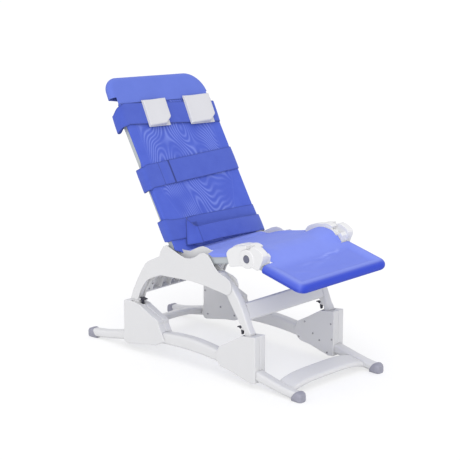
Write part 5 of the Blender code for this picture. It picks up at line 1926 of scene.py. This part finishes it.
@dataclass
class Pocket:
    """The padded pocket pulled over the head end of the back's tube."""

    foot: float = 0.524
    wing_foot: float = 0.548
    top: float = 0.622
    half: float = 0.2225
    shift: float = -0.005
    right_corner: float = 0.048
    left_corner: float = 0.088
    middle: float = 0.028
    deep: float = 0.0169
    notch: float = 0.2085
    notch_share: float = 0.93
    rear_share: float = 0.84
    roll: float = 0.017
    top_run: float = 0.030
    turn_level: float = 0.55
    rear_map: float = 1.3
    thickness: float = 0.0024
    wing_row: int = 5
    columns: Columns = Columns(36, 8)
    ripple: Ripple = Ripple(0.0006, 11.0, 9.2)

    def __post_init__(self) -> None:
        """Sets out the rows by their height."""
        self.rows = [self.foot] + steps(self.foot, self.wing_foot, self.wing_row)
        self.rows += steps(self.wing_foot, self.top - self.top_run, 12)
        for i in range(1, 17):
            self.rows.append(self.top - self.top_run * (1.0 - math.sin(math.radians(90.0 * i / 16))))

    def outline(self, side: float) -> tuple[float, float]:
        """Where the outline's side lies across, and the radius of its corner."""
        return (self.shift + side * self.half, self.left_corner if side > 0 else self.right_corner)

    def edge(self, side: float, u: float) -> float:
        """The outline's side edge at a height.

        Args:
            side: 1 for the left side, -1 for the right.
            u: The place upwards.

        Returns:
            The place across.
        """
        reach, corner = self.outline(side)
        over = max(0.0, u - (self.top - corner))
        return reach - side * (corner - arc(corner, over))

    def rim_distance(self, x: float, u: float) -> float:
        """How far a place lies inside the outline.

        Args:
            x: The place across.
            u: The place upwards.

        Returns:
            The distance, or 0 outside it.
        """
        best = self.top - u
        for side in (1.0, -1.0):
            reach, corner = self.outline(side)
            cx, cu = reach - side * corner, self.top - corner
            if (x - cx) * side > 0 and u > cu:
                best = min(best, corner - math.hypot(x - cx, u - cu))
            else:
                best = min(best, (reach - x) * side)
        return max(0.0, best)

    def across(self, i: int, j: int) -> float:
        """Where a column lies across, in a row.

        Args:
            i: The column.
            j: The row.

        Returns:
            The place across.
        """
        side = 1.0 if i > self.columns.count / 2 else -1.0
        reach = abs(self.edge(side, self.rows[j]))
        return self.columns.lie(i, min(self.notch, reach * self.notch_share), reach, True)

    def spot(self, x: float, u: float, front: bool) -> Vector:
        """A place of the front or the rear sheet, turned as the head end is.

        Args:
            x: The place across.
            u: The place upwards.
            front: True for the front sheet.

        Returns:
            The point in the whole chair.
        """
        rim = min(1.0, self.rim_distance(x, u) / self.roll)
        depth = self.deep * arc(1.0, 1.0 - rim)
        soft = self.ripple.at(x, u) * min(1.0, depth / self.deep)
        n = self.middle + depth + soft if front else self.middle - depth
        turn = math.radians(HEAD_TURN)
        rise = u - self.turn_level
        across = x * math.cos(turn) + rise * math.sin(turn)
        return on_back(across, self.turn_level - x * math.sin(turn) + rise * math.cos(turn), n)

    def gone(self, i: int, j: int) -> bool:
        """True for the faces below the wings."""
        return self.columns.outside(i) and j < self.wing_row

    def shape(self) -> bmesh.types.BMesh:
        """The two sheets, joined along the outline and open at the foot.

        Returns:
            The shape.
        """
        count, last = self.columns.count, len(self.rows) - 1
        bm = numbered_grid(count, last, self.gone)
        column, row = numbers(bm)
        uv = bm.loops.layers.uv[CLOTH_MAP]
        made = bmesh.ops.extrude_face_region(bm, geom=list(bm.faces))
        fronts = set(of_kind(made, bmesh.types.BMVert))
        open_walls = []
        for face in bm.faces:
            here = {vert[column] for vert in face.verts}
            closed = here <= {0} or here <= {count} or min(vert[row] for vert in face.verts) == last
            if len({vert in fronts for vert in face.verts}) == 2 and not closed:
                open_walls.append(face)
        bmesh.ops.delete(bm, geom=open_walls, context="FACES_ONLY")
        for face in bm.faces:
            for loop in face.loops:
                x, u = self.across(loop.vert[column], loop.vert[row]), self.rows[loop.vert[row]]
                loop[uv].uv = (x, u if loop.vert in fronts else self.rear_map - u)
        for vert in bm.verts:
            x, u = self.across(vert[column], vert[row]), self.rows[vert[row]]
            front = vert in fronts
            if not front and vert[row] < self.wing_row:
                x *= self.rear_share
            vert.co = self.spot(x, u, front)
        bmesh.ops.remove_doubles(bm, verts=bm.verts, dist=0.00002)
        return bm

    def build(self) -> None:
        """Makes and dresses the pocket."""
        bm = self.shape()
        bmesh.ops.recalc_face_normals(bm, faces=bm.faces)
        bm.normal_update()
        out = BACK.way(0.0, -1.0, 0.0)
        front_face = max(bm.faces, key=lambda face: face.calc_center_median().dot(out))
        if front_face.normal.dot(out) < 0:
            bmesh.ops.reverse_faces(bm, faces=bm.faces)
        piece = thicken(bm, "back_top_pocket", self.thickness)
        wear(piece, POCKET_CLOTH, "backrest", "back_pocket")


@dataclass
class Backrest:
    """The backrest: its tube and hinge plates, its net panel and the pocket over its head end."""

    tube_edge: Softening = Softening(0.0010, 2, 40.0)

    def build(self) -> None:
        """Makes and dresses the backrest."""
        self.tube_edge.apply("back_frame", TUBE)
        for side in Side:
            self.tube_edge.apply(f"back_hinge_plate_{side.word}", TUBE)
        NetPanel().build()
        Pocket().build()


# The straps and head blocks


@dataclass
class Strap:
    """A band of webbing that runs round the backrest."""

    name: str
    foot: float
    width: float
    stations: tuple[tuple[float, float], ...]
    lean: Callable[[float, float, float, float], Point]
    thickness: float = 0.0025
    ring: bool = True
    spacing: float = 0.005
    corner_cuts: int = 2
    columns: int = 8
    bow: float = 0.0006
    ripple: Ripple = Ripple(0.0002, 40.0, 2.0)
    ripple_across: float = 0.08
    matrix: Matrix = field(default_factory=BACK.matrix)

    def path(self) -> list[Vector]:
        """The strap's middle line as (across, towards the occupant), with soft corners.

        Returns:
            The line's points.
        """
        points = [Vector(p) for p in self.stations]
        for _ in range(self.corner_cuts):
            nexts = points[1:] + (points[:1] if self.ring else [])
            fresh = [a.lerp(b, share) for a, b in zip(points, nexts) for share in (0.25, 0.75)]
            if not self.ring:
                fresh[0], fresh[-1] = points[0], points[-1]
            points = fresh
        return points + (points[:1] if self.ring else [])

    def resampled(self) -> list[Vector]:
        """The middle line in even steps.

        Returns:
            The line's points.
        """
        points = self.path()
        runs = [0.0]
        for a, b in zip(points, points[1:]):
            runs.append(runs[-1] + (b - a).length)
        count = max(8, round(runs[-1] / self.spacing))
        out = []
        k = 0
        for step in range(count + 1):
            run = runs[-1] * step / count
            while k < len(runs) - 2 and runs[k + 1] < run:
                k += 1
            span = max(1e-9, runs[k + 1] - runs[k])
            out.append(points[k].lerp(points[k + 1], (run - runs[k]) / span))
        return out

    def length(self) -> float:
        """The strap's length."""
        points = self.resampled()
        return sum((b - a).length for a, b in zip(points, points[1:]))

    def shape(self) -> bpy.types.Object:
        """Makes the band.

        Returns:
            The band.
        """
        points = self.resampled()
        rows = len(points) - 1
        total = self.length()

        def spot(i: int, j: int) -> Vector:
            """The band's outer face.

            Args:
                i: The column.
                j: The row.

            Returns:
                The point in the whole chair.
            """
            share = i / self.columns
            near = [(j + k) % rows if self.ring else max(0, min(rows, j + k)) for k in (-1, 0, 1)]
            before, here, after = (points[k] for k in near)
            way = (after - before).normalized()
            swell = self.thickness + self.bow * (1.0 - (2.0 * share - 1.0) ** 2)
            swell += self.ripple.at(here.x + here.y, share * self.ripple_across)
            dx, dn, du = self.lean(here.x, here.y, share, j / rows)
            p = here + Vector((-way.y, way.x)) * swell + Vector((dx, dn))
            return self.matrix @ Vector((p.x, -p.y, self.foot + self.width * share + du))

        def flat(i: int, j: int) -> tuple[float, float]:
            """The place on the flat strap."""
            return (total * j / rows, self.width * (i / self.columns - 0.5))

        bm = lay_cloth(self.columns, rows, spot, flat)
        column, row = numbers(bm)
        sample = min(bm.faces, key=lambda f: (min(v[row] for v in f.verts), min(v[column] for v in f.verts)))
        way = (points[1] - points[0]).normalized()
        out = self.matrix.to_3x3() @ Vector((-way.y, -way.x, 0.0))
        if sample.normal.dot(out) < 0:
            bmesh.ops.reverse_faces(bm, faces=bm.faces)
        if self.ring:
            bmesh.ops.remove_doubles(bm, verts=bm.verts, dist=0.00002)
        return thicken(bm, self.name, self.thickness)


@dataclass
class HeadBlock:
    """A head block: a smooth wedge on a thin plate whose corners stand out.

    Its sizes are x across and u up, from the middle of the head strap.
    """

    side: Side
    outer: float
    inner: float
    low: float
    high: float
    foot_cut: float = 0.027
    foot_short: float = 0.024
    thin: float = 0.0070
    thick: float = 0.0205
    thick_from: float = 0.05
    rounding: float = 0.0060
    outer_slope: float = 1.3
    base: float = 0.0526
    wall_foot: float = 0.0506
    plate_middle: float = 0.0517
    plate_thickness: float = 0.0021
    plate_rim: float = 0.003
    plate_edge: float = 0.0009
    faces: int = 44
    crowding: float = 1.35

    def reach(self, u: float) -> float:
        """The body's left edge at a height, which is cut off at its foot."""
        return self.inner - self.foot_short * smooth_step((self.low + self.foot_cut - u) / self.foot_cut)

    def height(self, x: float, u: float) -> float:
        """How far the body stands off its plate.

        Args:
            x: The place across.
            u: The place upwards.

        Returns:
            The height over the plate.
        """
        share = (x - self.outer) / (self.inner - self.outer)
        crown = mix(self.thin, self.thick, smooth_step(mix(self.thick_from, 1.0, share)))
        rim = min((x - self.outer) * self.outer_slope, self.reach(u) - x, u - self.low, self.high - u)
        return crown * arc(1.0, 1.0 - max(0.0, min(1.0, rim / self.rounding)))

    def crowd(self, place: float) -> float:
        """Moves a place of the grid, from -1 to 1, towards the nearer edge, as a share."""
        return (math.copysign(1.0 - (1.0 - abs(place)) ** self.crowding, place) + 1.0) / 2.0

    def build(self, matrix: Matrix) -> None:
        """Makes and dresses the block.

        Args:
            matrix: The frame of the head strap.
        """
        bm = bmesh.new()
        bmesh.ops.create_grid(bm, x_segments=self.faces, y_segments=self.faces, size=1.0)
        for vert in bm.verts:
            u = mix(self.low, self.high, self.crowd(vert.co.y))
            x = mix(self.outer, self.reach(u), self.crowd(vert.co.x))
            vert.co = Vector((x, -(self.base + self.height(x, u)), u))
        made = bmesh.ops.extrude_edge_only(bm, edges=[edge for edge in bm.edges if edge.is_boundary])
        for vert in of_kind(made, bmesh.types.BMVert):
            vert.co.y = -self.wall_foot
        bmesh.ops.contextual_create(bm, geom=[edge for edge in bm.edges if edge.is_boundary])
        middle = ((self.outer + self.inner) / 2, -self.plate_middle, (self.low + self.high) / 2)
        wide = self.inner - self.outer + self.plate_rim
        tall = self.high - self.low + self.plate_rim
        size = Matrix.Diagonal((wide, self.plate_thickness, tall, 1.0))
        plate = bmesh.ops.create_cube(bm, size=1.0, matrix=Matrix.Translation(middle) @ size)
        walls = list({edge for vert in plate["verts"] for edge in vert.link_edges})
        bmesh.ops.bevel(
            bm, geom=walls, offset=self.plate_edge, segments=2, profile=0.5, affect="EDGES"
        )
        bmesh.ops.recalc_face_normals(bm, faces=bm.faces)
        bm.transform(matrix)
        node = f"head_block_{self.side.word}"
        piece = link(f"{node}_skin", bm)
        # The blocks wear the darker copy of the white, which paints shade on them.
        wear(piece, BLOCK_WHITE_PAINTED_SHADE, body_of(FRAME["nodes"][node])[0], node)


@dataclass
class Straps:
    """The head, chest and hip straps with the hip belt, and the two head blocks."""

    side: float = 0.2125
    rear: float = 0.0143
    front: float = 0.0452
    head_front: float = 0.0478
    thickness: float = 0.0025
    head_rise: float = 0.482
    head_foot: float = -0.0447
    head_width: float = 0.077
    chest_foot: float = 0.232
    chest_width: float = 0.082
    hip_foot: float = 0.050
    hip_width: float = 0.064
    belt_foot: float = 0.002
    belt_width: float = 0.062
    belt_top: float = 0.042
    head_slant: float = -0.0437
    hip_slant: float = -0.043
    # How the straps and the belt lie askew
    head_drag: tuple[float, float] = (0.010, 0.034)
    head_drag_low: float = 0.55
    head_back_run: float = -0.030
    head_pull: float = 0.004
    chest_lap: float = 0.0017
    chest_lap_depth: float = 0.004
    chest_roll: tuple[float, float] = (-0.0035, 0.0030)
    chest_drop: float = 0.005
    hip_drop: float = 0.0095
    hip_sag_depth: float = 0.0020
    hip_low_spread: float = 0.0075
    hip_high_spread: float = 0.0055
    belt_fall_start: float = 0.110
    belt_fall_run: float = 0.092
    belt_aside: float = 0.046
    belt_wave: float = 0.0008
    belt_wave_turn: float = 21.0
    belt_root: tuple[float, float] = (0.014, 0.044)
    belt_seat: tuple[float, float] = (0.001, -0.002)
    belt_drop: float = 0.006
    head_near: Ramp = Ramp(-0.195, -0.020)
    chest_over: Ramp = Ramp(-0.131, 0.004)
    chest_near: Ramp = Ramp(-0.196, -0.014)
    chest_low: Ramp = Ramp(0.45, -0.45)
    hip_sag: Ramp = Ramp(-0.19, 0.12)
    hip_near: Ramp = Ramp(-0.110, -0.030)
    hip_front: Ramp = Ramp(0.012, 0.024)
    hip_end: Ramp = Ramp(-0.175, -0.035)
    belt_slope: Ramp = Ramp(0.30, 0.60)
    belt_turn: Ramp = Ramp(0.035, 0.012)

    def loop(
        self, front: float, near_out: float, near_rear: float, more: float = 0.0
    ) -> tuple[tuple[float, float], ...]:
        """Stations round the backrest from its right front corner.

        Args:
            front: How far towards the occupant the front run lies.
            near_out: How far the right end bulges outwards.
            near_rear: How far it bulges to the rear.
            more: How much further out both sides lie.

        Returns:
            The stations, as places across and towards the occupant.
        """
        side = self.side + more
        return (
            (-side + 0.010, front),
            (-0.122, front),
            (-0.110, front),
            (0.0, front),
            (0.12, front),
            (side - 0.010, front),
            (side - 0.0015, front - 0.0015),
            (side, front - 0.009),
            (side, self.rear + 0.006),
            (side - 0.006, self.rear),
            (0.0, self.rear),
            (-side + 0.012, self.rear),
            (-side - near_out * 0.8, self.rear - near_rear),
            (-side - near_out, (front + self.rear) / 2 - 0.006),
            (-side - near_out * 0.5, front - 0.006),
            (-side + 0.0015, front - 0.0015),
        )

    def head_matrix(self) -> Matrix:
        """The frame of the head strap, turned with the head end."""
        rise = Matrix.Translation((0.0, 0.0, self.head_rise))
        return BACK.matrix() @ rise @ Matrix.Rotation(math.radians(HEAD_TURN), 4, "Y")

    def build(self) -> None:
        """Makes and dresses the straps and blocks."""
        head = Strap(
            "head_strap_band",
            self.head_foot,
            self.head_width,
            self.loop(self.head_front, 0.013, 0.004, 0.0035),
            self.head_lean,
            matrix=self.head_matrix(),
        )
        path = self.loop(self.front, 0.007, 0.003)
        chest = Strap("chest_strap_band", self.chest_foot, self.chest_width, path, self.chest_lean)
        path = self.loop(self.front, 0.003, 0.0)
        hip = Strap("hip_strap_band", self.hip_foot, self.hip_width, path, self.hip_lean)
        self.dress_strap(head, "head_strap", ())
        # A stitch line, and painted shadow along the edge of the strap's lap.
        self.dress_strap(chest, "chest_strap", ((0.0275, 0.0016, 0.70), (0.0745, 0.0052, 0.95)))
        # Painted shadow beside the belt's root.
        self.dress_strap(hip, "hip_strap", ((0.0860, 0.0150, 0.55),))
        self.belt()
        HeadBlock(Side.RIGHT, -0.1165, -0.0230, -0.0510, 0.0440).build(self.head_matrix())
        HeadBlock(Side.LEFT, 0.0740, 0.1830, -0.0550, 0.0480).build(self.head_matrix())

    def head_lean(self, x: float, n: float, share: float, run: float) -> Point:
        """How the head strap slants, and how its right end is dragged down towards the rear.

        Args:
            x: The place across.
            n: The place towards the occupant.
            share: The place across the strap, from 0 at its lower edge to 1.
            run: The place along the strap, from 0 to 1; not used.

        Returns:
            How far the place moves across, towards the occupant and up.
        """
        near = self.head_near.at(x)
        back = Ramp(self.head_front, self.head_back_run).at(n)
        drag = near * mix(*self.head_drag, back) * mix(self.head_drag_low, 1.0, share)
        return (-self.head_pull * near * back, 0.0, self.head_slant * x - drag)

    def chest_lean(self, x: float, n: float, share: float, run: float) -> Point:
        """Lays the chest strap's long end over its short one, and rolls its right lower corner.

        Args:
            x: The place across.
            n: The place towards the occupant.
            share: The place across the strap, from 0 at its lower edge to 1.
            run: The place along the strap, from 0 to 1; not used.

        Returns:
            How far the place moves across, towards the occupant and up.
        """
        over = self.chest_over.at(x) if n > self.front - self.chest_lap_depth else 0.0
        near = self.chest_near.at(x)
        corner = near * self.chest_low.at(share)
        roll_x, roll_n = self.chest_roll
        return (roll_x * corner, self.chest_lap * over + roll_n * corner, -self.chest_drop * near)

    def hip_lean(self, x: float, n: float, share: float, run: float) -> Point:
        """Slants the hip strap towards its left end and lets it sag a little.

        Args:
            x: The place across.
            n: The place towards the occupant.
            share: The place across the strap, from 0 at its lower edge to 1.
            run: The place along the strap, from 0 to 1; not used.

        Returns:
            How far the place moves across, towards the occupant and up.
        """
        sag = -self.hip_sag_depth * math.sin(math.pi * self.hip_sag.at(x)) * share
        spread = -self.hip_low_spread * self.hip_near.at(x) * self.hip_front.at(n) * (1.0 - share)
        spread += self.hip_high_spread * self.hip_end.at(x) * share
        return (0.0, 0.0, self.hip_slant * x - self.hip_drop + sag + spread)

    def belt_lean(self, x: float, n: float, share: float, run: float) -> Point:
        """Lets the belt fall from the strap's height to the seat, mostly along its short side.

        Args:
            x: The place across; not used.
            n: The place towards the occupant; not used.
            share: The place across the strap, from 0 at its lower edge to 1.
            run: The place along the strap, from 0 to 1.

        Returns:
            How far the place moves across, towards the occupant and up.
        """
        down = max(0.0, min(1.0, (run - self.belt_fall_start) / self.belt_fall_run))
        aside = -self.belt_aside * (1.0 - share) * (1.0 - down) * self.belt_turn.at(run)
        wave = self.belt_wave * math.sin(run * self.belt_wave_turn) * (1.0 - share)
        fall = mix(mix(*self.belt_root, share), mix(*self.belt_seat, share), down)
        return (aside, wave, fall - self.belt_drop * self.belt_slope.at(run))

    def dress_strap(
        self, strap: Strap, node: str, seams: tuple[tuple[float, float, float], ...]
    ) -> None:
        """Makes a strap and dresses it.

        Args:
            strap: The strap.
            node: The node that it replaces.
            seams: Dark lines across it, as place, width and strength.
        """
        piece = strap.shape()
        wear(piece, BrushedWebbing(*WEBBING, strap.width / 2, seams), "backrest", node)
        strap.length()

    def belt(self) -> None:
        """The hip belt that stands off the back as an open loop."""
        base = self.front + self.thickness
        stations = (
            (-0.064, base + 0.0006),
            (-0.100, base + 0.0008),
            (-0.112, base + 0.0012),
            (-0.1160, base + 0.0060),
            (-0.1185, base + 0.0180),
            (-0.1215, base + 0.0340),
            (-0.1215, base + 0.0385),
            (-0.1175, base + 0.0402),
            (-0.060, base + 0.0400),
            (0.000, base + 0.0370),
            (0.070, base + 0.0310),
            (0.130, base + 0.0225),
            (0.175, base + 0.0130),
            (0.200, base + 0.0062),
            (self.side + 0.0045, base - 0.002),
            (self.side + 0.0048, base - 0.012),
        )
        belt = Strap(
            "hip_belt_band",
            self.belt_foot,
            self.belt_width,
            stations,
            self.belt_lean,
            ring=False,
            corner_cuts=1,
            spacing=0.004,
        )
        piece = belt.shape()
        # Painted shade along the belt's two folds.
        folds = ((0.0505, 0.0030, 0.90), (0.0905, 0.0016, 0.50))
        wear(piece, BrushedWebbing(*WEBBING, belt.width / 2, folds), "backrest", "hip_strap")
        belt.length()
        along = BACK.way(0.0, 0.0, 1.0)
        top = BACK.at(0.0, -self.front, self.belt_foot + self.belt_width + self.belt_top)
        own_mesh(piece)


# The studio


@dataclass
class Studio:
    """A plain pale floor, soft light and the photograph's camera."""

    eye: Point = (-4.30931, -4.12759, 2.01276)
    azimuth: float = 46.184
    elevation: float = 14.766
    lens: float = 142.9
    sun_strength: float = 0.67
    sun_angle: float = 34.0
    sun_from: Point = (-0.42, -0.34, 0.84)
    fill_strength: float = 1.06
    fill_angle: float = 40.0
    fill_from: Point = (-0.69, -0.66, 0.30)
    sky_strength: float = 0.92
    floor_seen: Point = (0.95, 0.95, 0.96)
    floor_bounce: Point = (0.80, 0.80, 0.80)
    floor_glow: float = 0.12
    floor_glow_seen: float = 0.48

    def build(self) -> None:
        """Makes the floor, the world, the lamps and the camera."""
        self.floor()
        self.world()
        self.lamp("soft_key", self.sun_strength, self.sun_angle, self.sun_from)
        self.lamp("soft_fill", self.fill_strength, self.fill_angle, self.fill_from)
        self.camera()

    def floor(self) -> None:
        """The floor, which shows white but keeps the chair's shadow."""
        bm = bmesh.new()
        bmesh.ops.create_grid(bm, x_segments=2, y_segments=2, size=60.0)
        floor = link("studio_floor", bm)
        book = ShaderBook("studio_floor_finish")
        ray = book.node("ShaderNodeLightPath").outputs["Is Camera Ray"]
        book.set(
            Base_Color=book.mix(Signal(book, ray), self.floor_bounce, self.floor_seen),
            Roughness=0.9,
            Specular_IOR_Level=0.1,
        )
        glow = book.node("ShaderNodeEmission", None, {"Color": (1.0, 1.0, 1.0), "Strength": 1.0})
        factor = Signal(book, ray) * self.floor_glow_seen + self.floor_glow
        blend = book.node(
            "ShaderNodeMixShader", None, {0: factor, 1: book.shader.outputs[0], 2: glow.outputs[0]}
        )
        out = next(n for n in book.tree.nodes if n.type == "OUTPUT_MATERIAL")
        book.put(out.inputs["Surface"], blend.outputs[0])
        floor.data.materials.append(book.material)

    def world(self) -> None:
        """A white background to the camera and an even sky to the chair."""
        world = bpy.data.worlds.new("studio_world")
        bpy.context.scene.world = world
        world.use_nodes = True
        tree = world.node_tree
        light = tree.nodes["Background"]
        light.inputs["Color"].default_value = (0.985, 0.985, 1.0, 1.0)
        light.inputs["Strength"].default_value = self.sky_strength
        shown = tree.nodes.new("ShaderNodeBackground")
        shown.inputs["Color"].default_value = (1.0, 1.0, 1.0, 1.0)
        shown.inputs["Strength"].default_value = 1.0
        path = tree.nodes.new("ShaderNodeLightPath")
        join = tree.nodes.new("ShaderNodeMixShader")
        tree.links.new(path.outputs["Is Camera Ray"], join.inputs[0])
        tree.links.new(light.outputs[0], join.inputs[1])
        tree.links.new(shown.outputs[0], join.inputs[2])
        tree.links.new(join.outputs[0], tree.nodes["World Output"].inputs["Surface"])

    def lamp(self, name: str, strength: float, angle: float, toward: Point) -> None:
        """A broad soft lamp.

        Args:
            name: The lamp's name.
            strength: Its strength.
            angle: How wide it looks from the chair, in degrees.
            toward: Where it stands, seen from the chair.
        """
        data = bpy.data.lights.new(name, "SUN")
        data.energy = strength
        data.angle = math.radians(angle)
        lamp = bpy.data.objects.new(name, data)
        bpy.context.scene.collection.objects.link(lamp)
        lamp.rotation_euler = Vector(toward).to_track_quat("Z", "Y").to_euler()

    def camera(self) -> None:
        """The photograph's camera."""
        az, el = math.radians(self.azimuth), math.radians(self.elevation)
        back = Vector((-math.sin(az) * math.cos(el), -math.cos(az) * math.cos(el), math.sin(el)))
        right = Vector((math.cos(az), -math.sin(az), 0.0))
        up = back.cross(right)
        made = bpy.data.cameras.new("camera")
        made.lens = self.lens
        made.sensor_width = 36.0
        made.clip_end = 200.0
        camera = bpy.data.objects.new("camera", made)
        bpy.context.scene.collection.objects.link(camera)
        turn = Matrix((right, up, back)).transposed().to_4x4()
        camera.matrix_world = Matrix.Translation(self.eye) @ turn
        bpy.context.scene.camera = camera
        bpy.context.scene.view_settings.view_transform = "Standard"


def main() -> None:
    """Builds the chair's looks and the studio."""
    logging.basicConfig(level=logging.INFO, format="%(name)s: %(message)s")
    Studio().build()
    Stand().build()
    Base().build()
    SeatFrame().build()
    SeatCover().build()
    Backrest().build()
    Straps().build()


if __name__ == "__main__":
    main()
